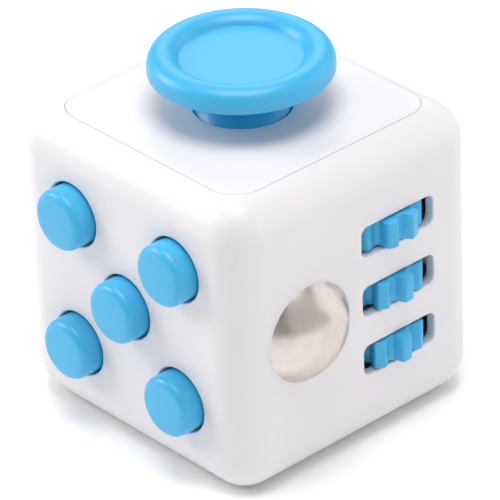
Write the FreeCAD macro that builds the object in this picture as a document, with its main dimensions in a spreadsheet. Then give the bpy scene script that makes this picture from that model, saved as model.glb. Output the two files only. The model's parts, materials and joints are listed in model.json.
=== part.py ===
import FreeCAD, Part
import math
import os
import re

import Sketcher

# A hand-held fidget cube: a hollow rounded casing with two covers and a different toy on each
# face. -Y clicks (five buttons), +X rolls (a steel ball and three gears), +Z glides (a sprung
# joystick), +Y spins (a dial), -X flips (a rocker) and -Z is a smooth dent for the thumb.
# The origin is the middle of the bottom face, and +Z is up. All sizes are in millimetres.

SIZES = [
    # The casing and its two covers.
    ("cube", 33.0, "side of the casing"),
    ("edge_round", 4.0, "rounding of every outer edge"),
    ("wall", 1.8, "wall of the four sides"),
    ("deck", 2.6, "depth from the top or bottom face to the hollow"),
    ("cover_inset", 3.1, "from a side face in to a cover's edge"),
    ("cover_thick", 2.0, "thickness of a cover"),
    ("cover_corner", 3.0, "corner radius of a cover"),
    ("seam", 0.1, "gap between a cover and the casing"),
    ("ledge", 1.2, "width of the ledge under a cover's edge"),
    ("peg_radius", 0.8, "press-fit pegs of the covers"),
    ("peg_length", 3.0, "length of a peg below its cover"),
    ("peg_inset", 2.1, "from a cover's edge in to its pegs"),
    ("boss_half", 1.4, "from a peg's axis to the inner sides of its boss"),
    ("boss_deep", 3.4, "height of a peg's boss"),
    ("shank", 0.6, "screw shank radius and its pilot hole"),
    ("screw_head", 1.0, "screw head radius"),
    ("head_thick", 0.8, "screw head height"),
    ("post", 1.5, "radius of the screw posts"),
    ("click_bite", 2.5, "how far the click plate's screws bite into their posts"),
    ("roll_bite", 3.9, "how far the roll frame's screws bite into their posts"),
    ("hang_bite", 3.9, "how far the joystick base's screws bite into their posts"),
    ("flip_bite", 1.9, "how far the rocker cradle's screws bite into their posts"),
    ("pilot_room", 0.1, "room past the end of a screw or a peg"),
    ("slack", 0.05, "running clearance of pins, stems and axles"),
    # The five click buttons on the -Y face.
    ("button_pitch", 7.55, "corner buttons from the centre button, both ways"),
    ("button_radius", 3.25, "button radius"),
    ("button_gap", 0.25, "gap between a button and its hole"),
    ("button_proud", 2.3, "how far a button stands out"),
    ("button_round", 0.6, "rounding of a button's front edge"),
    ("flange_over", 0.5, "flange beyond the hole's edge"),
    ("flange_thick", 0.8, "flange thickness"),
    ("flange_gap", 0.1, "flange behind the wall at rest"),
    ("stem_radius", 1.0, "button stem radius"),
    ("click_front", 5.6, "front of the click plate behind the face"),
    ("click_thick", 2.0, "click plate thickness"),
    ("click_half", 10.2, "half the width of the click plate"),
    ("click_tall", 10.6, "half the height of the click plate"),
    ("stem_reach", 0.3, "stem end inside the click plate's bore"),
    ("dome_radius", 1.6, "snap dome and pad radius"),
    ("dome_high", 0.4, "snap dome and pad height"),
    ("dome_pocket", 0.8, "depth of a dome's pocket"),
    ("board_thick", 0.8, "switch board thickness"),
    ("button_coil", 1.45, "middle radius of a button's spring"),
    ("button_wire", 0.15, "wire radius of a button's spring"),
    ("click_post_up", 9.2, "upper and lower click posts from the centre"),
    ("click_post_side", 8.6, "side click post from the centre"),
    # The gears in their three slots on the +X face.
    ("gear_pitch", 6.85, "height from gear to gear"),
    ("gear_proud", 1.2, "how far the gears stand out"),
    ("roll_gap", 0.55, "gap between the ball and the gears"),
    ("gear_radius", 5.0, "gear radius over its teeth"),
    ("gear_root", 3.95, "gear radius between its teeth"),
    ("gear_thick", 3.0, "gear thickness"),
    ("tooth_foot", 1.9, "tooth width at its foot"),
    ("tooth_tip", 1.25, "tooth width at its tip"),
    ("tooth_round", 0.3, "rounding of the tooth tips"),
    ("teeth", 10, "teeth on a gear"),
    ("phase_low", 0.0, "degrees the bottom gear has been turned"),
    ("phase_middle", 5.0, "degrees the middle gear has been turned"),
    ("phase_high", 18.4, "degrees the top gear has been turned"),
    ("slot_trim", 0.1, "how far a slot's end covers a gear's rim"),
    ("slot_gap", 0.2, "gap above and below a gear in its slot"),
    ("slot_round", 0.8, "rounding of a slot's corners"),
    ("axle_radius", 1.0, "gear axle radius"),
    ("web_gap", 0.15, "gap between a gear and the frame's webs"),
    ("web_half", 1.85, "half the width of a web"),
    ("frame_gap", 0.1, "gap between the gears and the roll frame"),
    ("frame_thick", 1.2, "roll frame thickness"),
    ("frame_half", 11.1, "half the height of the roll frame"),
    ("frame_beyond", 0.9, "roll frame beyond the ball's axis"),
    ("roll_post_side", 2.0, "upper and lower roll posts from the middle of the face"),
    ("roll_post_up", 9.5, "upper and lower roll posts above and below the middle"),
    ("roll_post_gap", 0.45, "gap between the gears and the side roll post"),
    # The steel ball beside the gears.
    ("ball_radius", 6.6, "steel ball radius"),
    ("ball_proud", 2.7, "how far the ball stands out"),
    ("ball_gap", 0.3, "gap between the ball and the casing"),
    ("ball_place", 6.9, "ball axis from the middle of the face"),
    ("cup_radius", 3.2, "radius of the cup behind the ball"),
    ("cup_floor", 1.0, "thickness of the cup behind the ball"),
    ("cup_stem", 1.4, "radius of the cup's stem"),
    ("cup_stem_long", 1.9, "length of the cup's stem"),
    ("turret_radius", 4.9, "outer radius of the cup's turret"),
    ("turret_room", 1.4, "room for the spring between the cup and the turret's end"),
    ("turret_wall", 1.0, "end wall of the turret"),
    ("ball_coil", 2.2, "middle radius of the ball's spring"),
    ("ball_wire", 0.12, "wire radius of the ball's spring"),
    # The joystick on the +Z face.
    ("pivot_depth", 4.4, "joystick pivot below the top face"),
    ("tilt_dome", 6.4, "radius of the joystick's dome"),
    ("dome_wall", 0.8, "wall of the dome"),
    ("dome_gap", 0.3, "gap between the dome and the top cover"),
    ("dome_skirt", 1.2, "dome's lower rim above the pivot"),
    ("hub_radius", 2.2, "joystick hub radius"),
    ("hub_half", 1.2, "half the hub's height"),
    ("stick_radius", 1.8, "joystick stem radius"),
    ("neck_radius", 2.6, "neck below the cap"),
    ("cap_radius", 9.43, "joystick cap radius"),
    ("cap_under", 8.3, "underside of the cap above the pivot"),
    ("cap_thick", 2.4, "cap height at its rim"),
    ("cap_recess", 6.24, "radius of the cap's hollow"),
    ("cap_slope", 0.7, "width of the slope into the hollow"),
    ("cap_sink", 0.95, "depth of the hollow"),
    ("cap_round", 1.4, "rounding of the rim's top"),
    ("cap_round_under", 0.9, "rounding of the rim's underside"),
    ("socket_deep", 1.1, "depth of the stem in the cap"),
    ("ring_outer", 4.0, "gimbal ring outer radius"),
    ("ring_inner", 3.0, "gimbal ring inner radius"),
    ("ring_half", 0.7, "half the gimbal ring's height"),
    ("trunnion", 0.5, "gimbal pin radius"),
    ("fork_inner", 4.3, "inner face of the gimbal's posts"),
    ("fork_outer", 5.2, "outer face of the gimbal's posts"),
    ("fork_half", 0.9, "half the width of a gimbal post"),
    ("base_drop", 4.0, "joystick base below the pivot"),
    ("base_thick", 1.0, "joystick base thickness"),
    ("base_left", 7.4, "joystick base towards -X"),
    ("base_gap", 0.3, "gap between the joystick base and the roll frame"),
    ("base_half", 7.7, "half the width of the joystick base"),
    ("stick_coil", 1.9, "middle radius of the joystick's spring"),
    ("stick_wire", 0.2, "wire radius of the joystick's spring"),
    ("base_notch", 1.3, "half the width of the notch in the base for a roll screw's head"),
    ("hang_radius", 1.2, "radius of the posts under the top cover"),
    ("hang_left", 6.0, "posts towards -X"),
    ("hang_left_side", 5.7, "their distance from the middle plane"),
    ("hang_right_side", 6.5, "their distance from the middle plane"),
    # The rocker on the -X face.
    ("rocker_depth", 1.0, "rocker pivot behind the inside of the wall"),
    ("rocker_half", 3.8, "half the width of the rocker"),
    ("rocker_tip", 6.4, "from the rocker's middle to its end edge"),
    ("rocker_flush", 0.1, "how far the pressed half stands out"),
    ("rocker_skirt", 0.6, "rocker's ends reach back to this far in front of the pivot"),
    ("rocker_back", 0.9, "rocker's back behind the pivot"),
    ("rocker_back_half", 1.3, "half the height of its back"),
    ("rocker_angle", 10.0, "degrees the rocker leans in each position"),
    ("rocker_gap", 0.2, "gap between the rocker and its opening"),
    ("nose_length", 2.8, "detent nose behind the pivot"),
    ("nose_half", 0.5, "half the height of the nose"),
    ("nose_width", 1.0, "half the width of the nose"),
    ("rocker_pin", 0.6, "rocker pin radius"),
    ("cradle_half", 5.3, "half the width of the rocker's cradle"),
    ("cradle_tall", 8.6, "half the height of the rocker's cradle"),
    ("cradle_gap", 0.1, "gap between the cradle and the wall"),
    ("cradle_deep", 1.4, "floor of the cradle behind the pivot"),
    ("cradle_floor_thick", 1.2, "thickness of that floor"),
    ("lug_thick", 1.3, "thickness of the screw lugs"),
    ("lug_place", 6.8, "cradle screws from the middle plane"),
    ("lug_half", 1.4, "half the width of a cradle lug"),
    ("barrel_radius", 2.6, "outer radius of the plunger's barrel"),
    ("barrel_mouth", 1.9, "radius of the hole around the nose"),
    ("plunger_radius", 1.25, "plunger radius"),
    ("nose_gap", 0.3, "gap between the nose and the plunger"),
    ("plunger_length", 1.7, "plunger length"),
    ("plunger_room", 1.6, "room for the spring behind the plunger"),
    ("barrel_cap", 1.0, "end wall of the barrel"),
    ("plunger_coil", 0.85, "middle radius of the plunger's spring"),
    ("plunger_wire", 0.12, "wire radius of the plunger's spring"),
    # The dial on the +Y face.
    ("dial_radius", 10.1, "dial radius"),
    ("dial_proud", 2.0, "how far the dial stands out"),
    ("dial_recess", 0.8, "recess under the dial"),
    ("dial_gap", 0.3, "gap around the dial in its recess"),
    ("dial_lift", 0.1, "gap between the dial and its recess's floor"),
    ("dial_round", 0.8, "rounding of the dial's edge"),
    ("grip_count", 24, "grip grooves around the dial"),
    ("grip_radius", 0.45, "grip groove radius"),
    ("dimple_place", 4.6, "finger dimple from the dial's axis"),
    ("dimple_sphere", 7.0, "radius of the dimple's sphere"),
    ("dimple_deep", 1.1, "depth of the dimple"),
    ("hub_dial", 2.9, "dial hub radius"),
    ("hub_gap", 0.1, "running gap around the dial's hub"),
    ("washer_room", 1.1, "room for the washer between the wall and the retaining disc"),
    ("keeper_radius", 5.2, "retaining disc radius"),
    ("keeper_thick", 1.2, "retaining disc thickness"),
    ("dial_screw_long", 2.2, "dial screw inside the hub"),
    # The thumb dent on the -Z face.
    ("dent_radius", 9.7, "thumb dent radius"),
    ("dent_deep", 1.6, "thumb dent depth"),
    ("dent_backing", 11.0, "radius of the thicker middle of the bottom cover"),
    ("dent_floor", 3.4, "top of that thicker middle"),
]
NAMES = {alias for alias, value, meaning in SIZES}
EXACT = 1e-3

UP = FreeCAD.Vector(0, 0, 1)
TOWARD = {
    "+x": FreeCAD.Rotation(UP, FreeCAD.Vector(1, 0, 0)),
    "-x": FreeCAD.Rotation(UP, FreeCAD.Vector(-1, 0, 0)),
    "+y": FreeCAD.Rotation(UP, FreeCAD.Vector(0, 1, 0)),
    "-y": FreeCAD.Rotation(UP, FreeCAD.Vector(0, -1, 0)),
    "+z": FreeCAD.Rotation(),
    "-z": FreeCAD.Rotation(FreeCAD.Vector(1, 0, 0), 180),
}

doc = FreeCAD.newDocument("FidgetCube")
sheet = doc.addObject("Spreadsheet::Sheet", "Sizes")
subparts = []


# ---------------------------------------------------------------- sizes and expressions

def write_sizes():
    """Fill the sheet: a note, the number and its name in each row."""
    for row, (alias, value, meaning) in enumerate(SIZES, start=1):
        sheet.set("A%d" % row, meaning)
        sheet.set("B%d" % row, str(value))
        sheet.setAlias("B%d" % row, alias)
    doc.recompute()


def sized(expression):
    """The expression with each size's name looked up in the sheet."""
    def look_up(found):
        word = found.group()
        return "Sizes." + word if word in NAMES else word
    return re.sub(r"[a-z][a-z_]*", look_up, str(expression))


def number(expression):
    """What an expression of the sheet's sizes comes to now."""
    value = sheet.evalExpression(sized(expression))
    return float(getattr(value, "Value", value))


def bind(thing, rules):
    """Tie properties of an object to expressions of the sheet's sizes."""
    for path, expression in rules.items():
        thing.setExpression(path, sized(expression))
    return thing


def put(thing, x, y, z, toward="+z"):
    """Place an object, with its own +Z axis turned towards one of the six directions."""
    thing.Placement = FreeCAD.Placement(FreeCAD.Vector(), TOWARD[toward])
    return bind(thing, {"Placement.Base.x": x, "Placement.Base.y": y, "Placement.Base.z": z})


def subpart(thing):
    """Note a finished piece, whose label names its file."""
    subparts.append(thing)
    return thing


# ---------------------------------------------------------------- primitives and booleans

def block(name, low_x, high_x, low_y, high_y, low_z, high_z):
    """A box between two planes each way."""
    thing = doc.addObject("Part::Box", name)
    for side, low, high in (("Length", low_x, high_x), ("Width", low_y, high_y),
                            ("Height", low_z, high_z)):
        bind(thing, {side: "(%s) - (%s)" % (high, low)})
    return put(thing, low_x, low_y, low_z)


def rod(name, toward, x, y, z, radius, length):
    """A cylinder that starts at a point and runs in one of the six directions."""
    thing = doc.addObject("Part::Cylinder", name)
    bind(thing, {"Radius": radius, "Height": length})
    return put(thing, x, y, z, toward)


def orb(name, x, y, z, radius):
    """A sphere."""
    thing = doc.addObject("Part::Sphere", name)
    bind(thing, {"Radius": radius})
    return put(thing, x, y, z)


def joined(name, pieces):
    """Several overlapping pieces made one."""
    thing = doc.addObject("Part::MultiFuse", name)
    thing.Shapes = pieces
    return thing


def together(name, pieces):
    """Several separate solids kept in one sub-part, such as a set of screws."""
    thing = doc.addObject("Part::Compound", name)
    thing.Links = pieces
    return thing


def cut_away(name, base, tools):
    """A piece less one or more tools."""
    thing = doc.addObject("Part::Cut", name)
    thing.Base = base
    thing.Tool = tools[0] if len(tools) == 1 else joined(name + "_tools", tools)
    return thing


def overlap(name, first, second):
    """What two pieces share."""
    thing = doc.addObject("Part::Common", name)
    thing.Base = first
    thing.Tool = second
    return thing


# ---------------------------------------------------------------- bodies, sketches and features

def origin_plane(body, role):
    """One of a body's own origin planes, such as XY_Plane."""
    return next(item for item in body.Origin.OriginFeatures if item.Role == role)


def empty_sketch(body, role, name):
    """A sketch on one of a body's origin planes."""
    sketch = body.newObject("Sketcher::SketchObject", name)
    sketch.AttachmentSupport = (origin_plane(body, role), [""])
    sketch.MapMode = "FlatFace"
    return sketch


def pin_point(sketch, item, point, across, up):
    """Fix a sketch point at a place worked out from the sizes."""
    for kind, expression in (("DistanceX", across), ("DistanceY", up)):
        rule = Sketcher.Constraint(kind, -1, 1, item, point, number(expression))
        place = sketch.addConstraint(rule)
        sketch.setExpression("Constraints[%d]" % place, sized(expression))


def outline(body, role, points, name):
    """A closed outline through points given as (across, up) expressions."""
    sketch = empty_sketch(body, role, name)
    corners = [FreeCAD.Vector(number(across), number(up), 0) for across, up in points]
    for start, end in zip(corners, corners[1:] + corners[:1]):
        sketch.addGeometry(Part.LineSegment(start, end))
    for item in range(len(points)):
        follower = (item + 1) % len(points)
        sketch.addConstraint(Sketcher.Constraint("Coincident", item, 2, follower, 1))
    for item, (across, up) in enumerate(points):
        pin_point(sketch, item, 1, across, up)
    return sketch


def ring_sketch(body, role, across, up, radius, name):
    """A circle whose centre and radius follow the sizes."""
    sketch = empty_sketch(body, role, name)
    centre = FreeCAD.Vector(number(across), number(up), 0)
    sketch.addGeometry(Part.Circle(centre, UP, number(radius)))
    pin_point(sketch, 0, 3, across, up)
    place = sketch.addConstraint(Sketcher.Constraint("Radius", 0, number(radius)))
    sketch.setExpression("Constraints[%d]" % place, sized(radius))
    return sketch


def pad(body, sketch, length, name):
    """A sketch raised from its plane."""
    feature = body.newObject("PartDesign::Pad", name)
    feature.Profile = sketch
    bind(feature, {"Length": length})
    return feature


def rounded(body, feature, edges, radius, name):
    """Edges of a body's last feature rounded; edges are numbered from 1."""
    feature_round = body.newObject("PartDesign::Fillet", name)
    feature_round.Base = (feature, ["Edge%d" % number_of for number_of in edges])
    bind(feature_round, {"Radius": radius})
    doc.recompute()
    return feature_round


def all_edges(feature):
    """The numbers of all edges of a feature."""
    return range(1, len(feature.Shape.Edges) + 1)


def upright_edges(feature):
    """The numbers of the straight edges along a feature's own Z axis."""
    found = []
    for place, edge in enumerate(feature.Shape.Edges, start=1):
        box = edge.BoundBox
        if box.XLength < EXACT and box.YLength < EXACT:
            found.append(place)
    return found


def round_edges(feature, radius, height):
    """The numbers of the circular edges of one radius at one height."""
    found = []
    for place, edge in enumerate(feature.Shape.Edges, start=1):
        curve = edge.Curve
        if not isinstance(curve, Part.Circle):
            continue
        if abs(curve.Radius - number(radius)) < EXACT and abs(curve.Center.z - number(height)) < EXACT:
            found.append(place)
    return found


def rounded_slab(name, half_across, half_up, height, corner, toward, x, y, z):
    """A plate with rounded corners, centred on a point and raised in one direction."""
    body = doc.addObject("PartDesign::Body", name)
    corners = [("-(%s)" % half_across, "-(%s)" % half_up), (half_across, "-(%s)" % half_up),
               (half_across, half_up), ("-(%s)" % half_across, half_up)]
    feature = pad(body, outline(body, "XY_Plane", corners, name + "_outline"), height, name + "_pad")
    doc.recompute()
    rounded(body, feature, upright_edges(feature), corner, name + "_corners")
    return put(body, x, y, z, toward)


def rounded_cube(name, side_half, low, high, edge):
    """A cube-like block with every edge rounded, between two heights."""
    body = doc.addObject("PartDesign::Body", name)
    corners = [("-(%s)" % side_half, "-(%s)" % side_half), (side_half, "-(%s)" % side_half),
               (side_half, side_half), ("-(%s)" % side_half, side_half)]
    sketch = outline(body, "XY_Plane", corners, name + "_outline")
    feature = pad(body, sketch, "(%s) - (%s)" % (high, low), name + "_pad")
    doc.recompute()
    rounded(body, feature, all_edges(feature), edge, name + "_edges")
    return put(body, 0, 0, low)


def turned(name, points, toward, x, y, z):
    """A lathe-turned piece: an outline of (radius, height) points spun about its own Z axis."""
    body = doc.addObject("PartDesign::Body", name)
    feature = body.newObject("PartDesign::Revolution", name + "_turning")
    sketch = outline(body, "XZ_Plane", points, name + "_outline")
    feature.Profile = sketch
    feature.ReferenceAxis = (sketch, ["V_Axis"])
    feature.Angle = 360
    body.Tip = feature
    doc.recompute()
    return put(body, x, y, z, toward)


def coil(name, toward, x, y, z, radius, wire, turns, length):
    """A compression spring whose wire stays between its start and start + length."""
    body = doc.addObject("PartDesign::Body", name)
    sketch = ring_sketch(body, "XZ_Plane", radius, wire, wire, name + "_wire")
    feature = body.newObject("PartDesign::AdditiveHelix", name + "_turns")
    feature.Profile = sketch
    feature.ReferenceAxis = (sketch, ["V_Axis"])
    feature.Mode = 0
    rise = "((%s) - 2 * (%s))" % (length, wire)
    bind(feature, {"Height": rise, "Pitch": "%s / (%s)" % (rise, turns)})
    doc.recompute()
    return put(body, x, y, z, toward)


def screw(name, toward, x, y, z, length):
    """A pan-head screw: its head seats at the point and its shank runs on from there."""
    points = [("0", "-head_thick"), ("screw_head", "-head_thick"), ("screw_head", "0"),
              ("shank", "0"), ("shank", length), ("0", length)]
    return turned(name, points, toward, x, y, z)


# ---------------------------------------------------------------- shared places

MID = "cube / 2"
FACE = "cube / 2"
INSIDE = "(cube / 2 - wall)"
HOLE = "(button_radius + button_gap)"
COVER = "(cube / 2 - cover_inset)"
PEG = "(cube / 2 - cover_inset - peg_inset)"
GEAR_X = "(cube / 2 + gear_proud - gear_radius)"
GEAR_Y = "(ball_radius - ball_place + roll_gap + gear_radius)"
BALL_X = "(cube / 2 + ball_proud - ball_radius)"
CUP_BACK = "(cube / 2 + ball_proud - 2 * ball_radius - cup_floor)"
TURRET_END = "(cube / 2 + ball_proud - 2 * ball_radius - cup_floor - turret_room)"
TURRET_BACK = "(%s - turret_wall)" % TURRET_END
PIVOT_Z = "(cube - pivot_depth)"
PLATE_Y = "(cube / 2 - click_front)"
BOARD_Y = "(cube / 2 - click_front - click_thick)"
FRAME_X = "(cube / 2 + gear_proud - 2 * gear_radius - frame_gap)"
FRAME_BACK = "(%s - frame_thick)" % FRAME_X
BASE_RIGHT = "(%s - base_gap)" % FRAME_BACK
ROCKER_X = "(cube / 2 - wall - rocker_depth)"
ROCKER_FRONT = "(wall + rocker_depth + rocker_flush)"
ROCKER_END = "(%s + rocker_tip * tan(rocker_angle * 1deg))" % ROCKER_FRONT
ROCKER_REACH = "sqrt(%s ^ 2 + rocker_tip ^ 2)" % ROCKER_END
CRADLE_FRONT = "(cube / 2 - wall - cradle_gap)"
CRADLE_FLOOR = "(%s - cradle_deep)" % ROCKER_X
CRADLE_BACK = "(%s - cradle_floor_thick)" % CRADLE_FLOOR
PLUNGER_X = "(%s - nose_length - nose_gap)" % ROCKER_X
BARREL_END = "(%s - plunger_length - plunger_room)" % PLUNGER_X
HUB_END = "(cube / 2 - wall - washer_room)"
BASE_Z = "(cube - pivot_depth - base_drop)"
SIDES = (-1, 1)

BUTTONS = {
    "button_upper_left": (-1, 1),
    "button_upper_right": (1, 1),
    "button_centre": (0, 0),
    "button_lower_left": (-1, -1),
    "button_lower_right": (1, -1),
}
GEARS = {"gear_bottom": (-1, "phase_low"), "gear_middle": (0, "phase_middle"),
         "gear_top": (1, "phase_high")}
CLICK_POSTS = (("0", "cube / 2 + click_post_up"), ("0", "cube / 2 - click_post_up"),
               ("-click_post_side", "cube / 2"))
ROLL_POSTS = (("-roll_post_side", "cube / 2 + roll_post_up"), ("-roll_post_side", "cube / 2 - roll_post_up"),
              ("%s + gear_radius + post + roll_post_gap" % GEAR_Y, "cube / 2"))


def button_spot(name):
    """A button's place across and up the -Y face."""
    across, up = BUTTONS[name]
    return "%d * button_pitch" % across, "cube / 2 + %d * button_pitch" % up


def gear_height(step):
    """The height of a gear's middle."""
    return "(cube / 2 + %d * gear_pitch)" % step


def hang_spots():
    """Where the posts under the top cover hold the joystick's base."""
    left = [("-hang_left", "%d * hang_left_side" % side) for side in SIDES]
    right = [(BASE_RIGHT + " - hang_radius", "%d * hang_right_side" % side) for side in SIDES]
    return left + right


def peg_spots():
    """Where the covers' pegs stand."""
    return [("%d * %s" % (across, PEG), "%d * %s" % (up, PEG)) for across in SIDES for up in SIDES]


# ---------------------------------------------------------------- the casing

def casing_hollow():
    """The rounded hollow, and the stepped openings that take the covers."""
    hollow = rounded_cube("hollow", INSIDE, "deck", "cube - deck", "edge_round - wall")
    way = rounded_slab("cover_way", COVER + " + seam - ledge", COVER + " + seam - ledge", "cube + 2",
                       "cover_corner", "+z", 0, 0, -1)
    seats = [
        rounded_slab("top_seat", COVER + " + seam", COVER + " + seam", "cover_thick + 1",
                     "cover_corner + seam", "+z", 0, 0, "cube - cover_thick"),
        rounded_slab("bottom_seat", COVER + " + seam", COVER + " + seam", "cover_thick + 1",
                     "cover_corner + seam", "+z", 0, 0, -1),
    ]
    return [hollow, way] + seats


def corner_bosses(block_all):
    """The eight blocks, in the hollow's corners, that the covers' pegs press into."""
    pieces = []
    for place, (x, y) in enumerate(peg_spots()):
        for end, low in (("top", "cube - cover_thick - boss_deep"), ("bottom", "cover_thick")):
            side_x = 1 if place >= 2 else -1
            side_y = 1 if place % 2 else -1
            reach_x = ["%d * (%s - boss_half)" % (side_x, PEG), "%d * (%s + 0.5)" % (side_x, INSIDE)]
            reach_y = ["%d * (%s - boss_half)" % (side_y, PEG), "%d * (%s + 0.5)" % (side_y, INSIDE)]
            low_x, high_x = reach_x if side_x > 0 else reversed(reach_x)
            low_y, high_y = reach_y if side_y > 0 else reversed(reach_y)
            pieces.append(block("boss_%s_%d" % (end, place), low_x, high_x, low_y, high_y,
                                low, "%s + boss_deep" % low))
    return overlap("corner_bosses", joined("boss_blocks", pieces), block_all)


def screw_posts():
    """The posts on the inside of the walls that the mechanisms screw to."""
    pieces = []
    for place, (x, z) in enumerate(CLICK_POSTS):
        pieces.append(rod("click_post_%d" % place, "+y", x, "-%s - wall / 2" % INSIDE, z, "post",
                          "%s + wall / 2 - %s" % (INSIDE, PLATE_Y)))
    for place, (y, z) in enumerate(ROLL_POSTS):
        pieces.append(rod("roll_post_%d" % place, "-x", "%s + wall / 2" % INSIDE, y, z, "post",
                          "%s + wall / 2 - %s" % (INSIDE, FRAME_X)))
    for side in SIDES:
        pieces.append(rod("flip_post_%d" % (side > 0), "+x", "-%s - wall / 2" % INSIDE,
                          "%d * lug_place" % side, MID, "lug_half",
                          "%s + wall / 2 - (%s + lug_thick)" % (INSIDE, CRADLE_BACK)))
    return pieces


def casing_openings():
    """Every hole through the walls, with the pilot holes and peg sockets."""
    tools = []
    for name in BUTTONS:
        x, z = button_spot(name)
        tools.append(rod(name + "_hole", "+y", x, "-cube / 2 - 1", z, HOLE, "wall + 1.5"))
    for name, (step, phase) in GEARS.items():
        tools.append(rounded_slab(name + "_slot", "gear_thick / 2 + slot_gap", "gear_radius - slot_trim",
                                  "wall + 1.5", "slot_round", "+x", "cube / 2 - wall - 0.5", GEAR_Y,
                                  gear_height(step)))
    tools.append(orb("ball_relief", BALL_X, "-ball_place", MID, "ball_radius + ball_gap"))
    tools.append(rounded_slab("rocker_opening", ROCKER_REACH + " + rocker_gap", "rocker_half + rocker_gap",
                              "wall + 1.5", "slot_round", "-x", "-cube / 2 + wall + 0.5", 0, MID))
    tools.append(rod("dial_recess_cut", "+y", 0, "cube / 2 - dial_recess", MID,
                     "dial_radius + dial_gap", "dial_recess + 1"))
    tools.append(rod("dial_hub_hole", "+y", 0, "cube / 2 - wall - 1", MID, "hub_dial + hub_gap", "wall + 2"))
    return tools + pilot_holes() + peg_sockets()


def pilot_holes():
    """Pilot holes in the casing's screw posts."""
    tools = []
    for place, (x, z) in enumerate(CLICK_POSTS):
        tools.append(rod("click_pilot_%d" % place, "-y", x, "-%s" % PLATE_Y, z, "shank",
                         "click_bite + pilot_room"))
    for place, (y, z) in enumerate(ROLL_POSTS):
        tools.append(rod("roll_pilot_%d" % place, "+x", FRAME_X, y, z, "shank",
                         "roll_bite + pilot_room"))
    for side in SIDES:
        tools.append(rod("flip_pilot_%d" % (side > 0), "-x", "-%s - lug_thick" % CRADLE_BACK,
                         "%d * lug_place" % side, MID, "shank", "flip_bite + pilot_room"))
    return tools


def peg_sockets():
    """Sockets for the covers' pegs."""
    tools = []
    for place, (x, y) in enumerate(peg_spots()):
        tools.append(rod("top_socket_%d" % place, "-z", x, y, "cube - cover_thick", "peg_radius",
                         "peg_length + pilot_room"))
        tools.append(rod("bottom_socket_%d" % place, "+z", x, y, "cover_thick", "peg_radius",
                         "peg_length + pilot_room"))
    return tools


def make_casing():
    """The casing and its two covers, which share one rounded outer block."""
    outer = rounded_cube("outer_block", FACE, 0, "cube", "edge_round")
    shell = cut_away("casing_walls", outer, casing_hollow())
    solid = joined("casing_solid", [shell, corner_bosses(outer)] + screw_posts())
    subpart(cut_away("body_shell", solid, casing_openings()))
    make_top_cover(outer)
    make_bottom_cover(outer)


def make_top_cover(outer):
    """The flush top cover: pegs, hanging posts for the joystick's base, and its domed opening."""
    slab = rounded_slab("top_slab", COVER, COVER, "cover_thick + 1", "cover_corner",
                        "+z", 0, 0, "cube - cover_thick")
    plate = overlap("top_plate", outer, slab)
    pieces = [plate]
    tools = [orb("dome_relief", 0, 0, PIVOT_Z, "tilt_dome + dome_gap")]
    for place, (x, y) in enumerate(peg_spots()):
        pieces.append(rod("top_peg_%d" % place, "-z", x, y, "cube - cover_thick / 2", "peg_radius",
                          "peg_length + cover_thick / 2"))
    for place, (x, y) in enumerate(hang_spots()):
        pieces.append(rod("hang_post_%d" % place, "-z", x, y, "cube - cover_thick / 2", "hang_radius",
                          "cube - cover_thick / 2 - %s" % BASE_Z))
        tools.append(rod("hang_pilot_%d" % place, "+z", x, y, BASE_Z, "shank",
                         "hang_bite + pilot_room"))
    subpart(cut_away("top_cover", joined("top_solid", pieces), tools))


def make_bottom_cover(outer):
    """The flush bottom cover with the smooth thumb dent."""
    slab = rounded_slab("bottom_slab", COVER, COVER, "cover_thick + 1", "cover_corner",
                        "+z", 0, 0, -1)
    pieces = [overlap("bottom_plate", outer, slab),
              rod("dent_backing_disc", "+z", 0, 0, "cover_thick / 2", "dent_backing",
                  "dent_floor - cover_thick / 2")]
    for place, (x, y) in enumerate(peg_spots()):
        pieces.append(rod("bottom_peg_%d" % place, "+z", x, y, "cover_thick / 2", "peg_radius",
                          "peg_length + cover_thick / 2"))
    sphere = "((dent_radius ^ 2 + dent_deep ^ 2) / (2 * dent_deep))"
    tools = [orb("dent_sphere", 0, 0, "dent_deep - %s" % sphere, sphere)]
    subpart(cut_away("bottom_cover", joined("bottom_solid", pieces), tools))


# ---------------------------------------------------------------- the click face

def make_button(name):
    """A button: its cap through the wall, its flange behind the wall and its stem."""
    x, z = button_spot(name)
    flange_front = "-(wall + flange_gap)"
    flange_back = "-(wall + flange_gap + flange_thick)"
    flange = "%s + flange_over" % HOLE
    points = [("0", "button_proud"), ("button_radius", "button_proud"), ("button_radius", flange_front),
              (flange, flange_front), (flange, flange_back), ("stem_radius", flange_back),
              ("stem_radius", "-(click_front + stem_reach)"), ("0", "-(click_front + stem_reach)")]
    body = turned(name, points, "-y", x, "-cube / 2", z)
    rounded(body, body.Tip, round_edges(body.Tip, "button_radius", "button_proud"), "button_round",
            name + "_edge")
    subpart(body)
    start = "-(cube / 2 - wall - flange_gap - flange_thick)"
    subpart(coil(name.replace("button", "spring"), "+y", x, start, z, "button_coil", "button_wire", "4",
                 "click_front - wall - flange_gap - flange_thick"))


def ball_room(name):
    """The space the ball takes, with its press and a little room."""
    return orb(name, "%s - 0.4" % BALL_X, "-ball_place", MID, "ball_radius + 0.6")


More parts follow.
